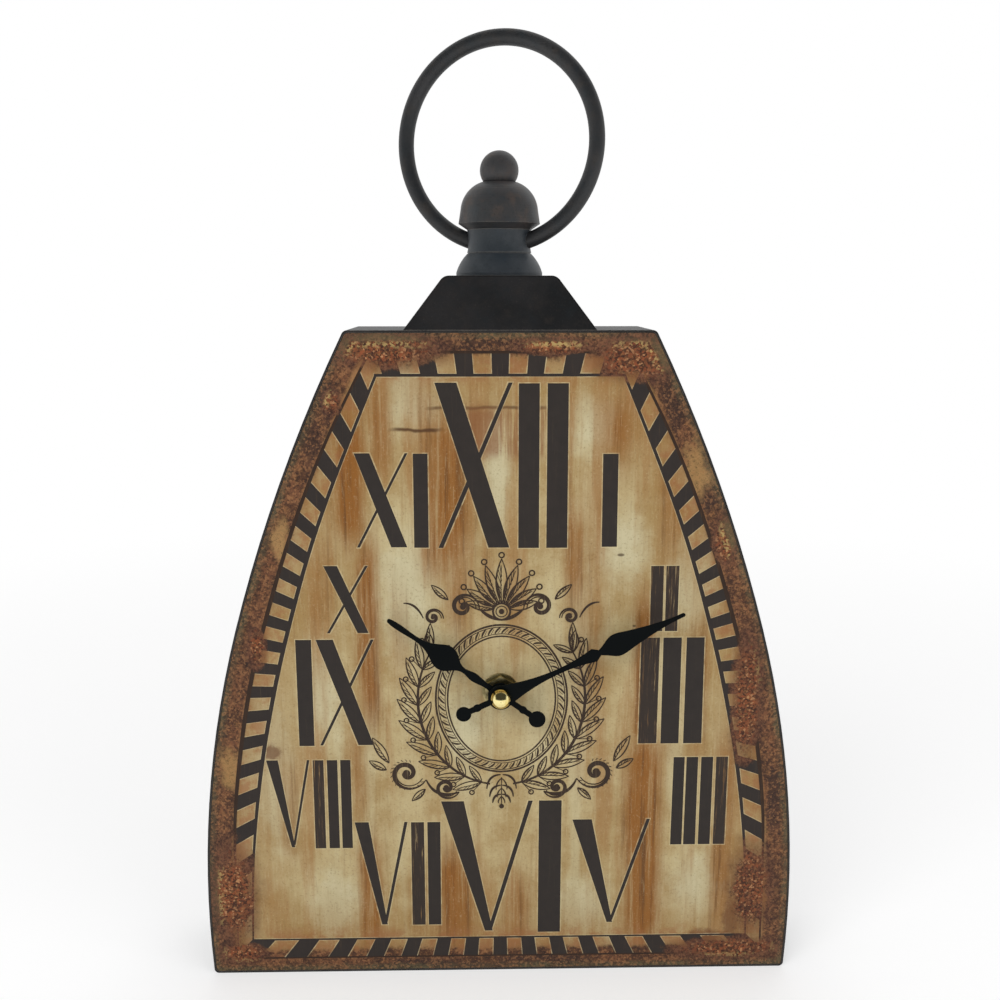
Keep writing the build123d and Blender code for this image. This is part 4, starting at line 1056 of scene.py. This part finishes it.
def build_floor(half=6.0):
    data = bpy.data.meshes.new("floor")
    data.from_pydata([(-half, -half, 0), (half, -half, 0), (half, half, 0), (-half, half, 0)], [],
                     [(0, 1, 2, 3)])
    floor = bpy.data.objects.new("floor", data)
    bpy.context.scene.collection.objects.link(floor)
    g = Graph("floor", Roughness=0.8, Specular_IOR_Level=0.1)
    far = (g.x * g.x + g.y * g.y).root().ease(*FLOOR_FADE) * (1.0 - FLOOR_GLOW) + FLOOR_GLOW
    grain = g.noise(60.0, 3, 1.0)
    g.done(g.mix(grain, *FLOOR_TONES))
    glow = g.node("ShaderNodeEmission")
    mixer = g.node("ShaderNodeMixShader")
    g.feed(mixer.inputs[0], far * Value(g, seen_directly(g.tree)))
    g.feed(mixer.inputs[1], g.shader.outputs[0])
    g.feed(mixer.inputs[2], glow.outputs[0])
    g.feed(g.tree.nodes["Material Output"].inputs["Surface"], mixer.outputs[0])
    data.materials.append(g.material)


def build_world():
    """White to the camera; a soft dark opening stands behind the camera in reflections."""
    world = bpy.data.worlds.new("studio")
    world.use_nodes = True
    bpy.context.scene.world = world
    tree = world.node_tree
    background = tree.nodes["Background"]

    def node(kind, **settings):
        made = tree.nodes.new(kind)
        for name, value in settings.items():
            setattr(made, name, value)
        return made

    split = node("ShaderNodeSeparateXYZ")
    tree.links.new(node("ShaderNodeTexCoord").outputs["Generated"], split.inputs[0])
    opening = None
    for axis, start, end in OPENING:
        ramp = node("ShaderNodeMapRange", interpolation_type="SMOOTHSTEP")
        tree.links.new(split.outputs[axis], ramp.inputs["Value"])
        ramp.inputs["From Min"].default_value = start
        ramp.inputs["From Max"].default_value = end
        if opening is None:
            opening = ramp.outputs[0]
        else:
            product = node("ShaderNodeMath", operation="MULTIPLY")
            tree.links.new(opening, product.inputs[0])
            tree.links.new(ramp.outputs[0], product.inputs[1])
            opening = product.outputs[0]

    def mixed(factor, first, second):
        made = node("ShaderNodeMix", data_type="RGBA")
        for slot, item in zip(MIX_IN, (factor, first, second)):
            if isinstance(item, tuple):
                made.inputs[slot].default_value = item
            else:
                tree.links.new(item, made.inputs[slot])
        return made.outputs[MIX_OUT]

    path = node("ShaderNodeLightPath")
    mirrored = mixed(opening, WHITE, DARK)
    seen = mixed(seen_directly(tree), DIM, mirrored)
    tree.links.new(mixed(path.outputs["Is Camera Ray"], seen, WHITE), background.inputs["Color"])
    background.inputs["Strength"].default_value = 1.0


def add_lamp(name, place, size, power):
    """Square lamp aimed at the clock, which leaves no bright spot in the polished brass."""
    light = bpy.data.lights.new(name, "AREA")
    light.shape = "SQUARE"
    light.size = size
    light.energy = power
    lamp = bpy.data.objects.new(name, light)
    lamp.location = place
    lamp.visible_glossy = False
    lamp.rotation_euler = (Vector(LAMP_AIM) - lamp.location).to_track_quat("-Z", "Y").to_euler()
    bpy.context.scene.collection.objects.link(lamp)


def build_camera():
    data = bpy.data.cameras.new("camera")
    data.sensor_width = CAMERA_SENSOR
    data.lens = CAMERA_LENS
    camera = bpy.data.objects.new("camera", data)
    camera.location = CAMERA_PLACE
    yaw, pitch = radians(CAMERA_YAW), radians(CAMERA_PITCH)
    forward = Vector((sin(yaw) * cos(pitch), cos(yaw) * cos(pitch), -sin(pitch)))
    camera.rotation_euler = forward.to_track_quat("-Z", "Y").to_euler()
    bpy.context.scene.collection.objects.link(camera)
    bpy.context.scene.camera = camera


build_floor()
build_world()
for lamp_row in LAMPS:
    add_lamp(*lamp_row)
build_camera()
bpy.context.scene.view_settings.view_transform = "Standard"
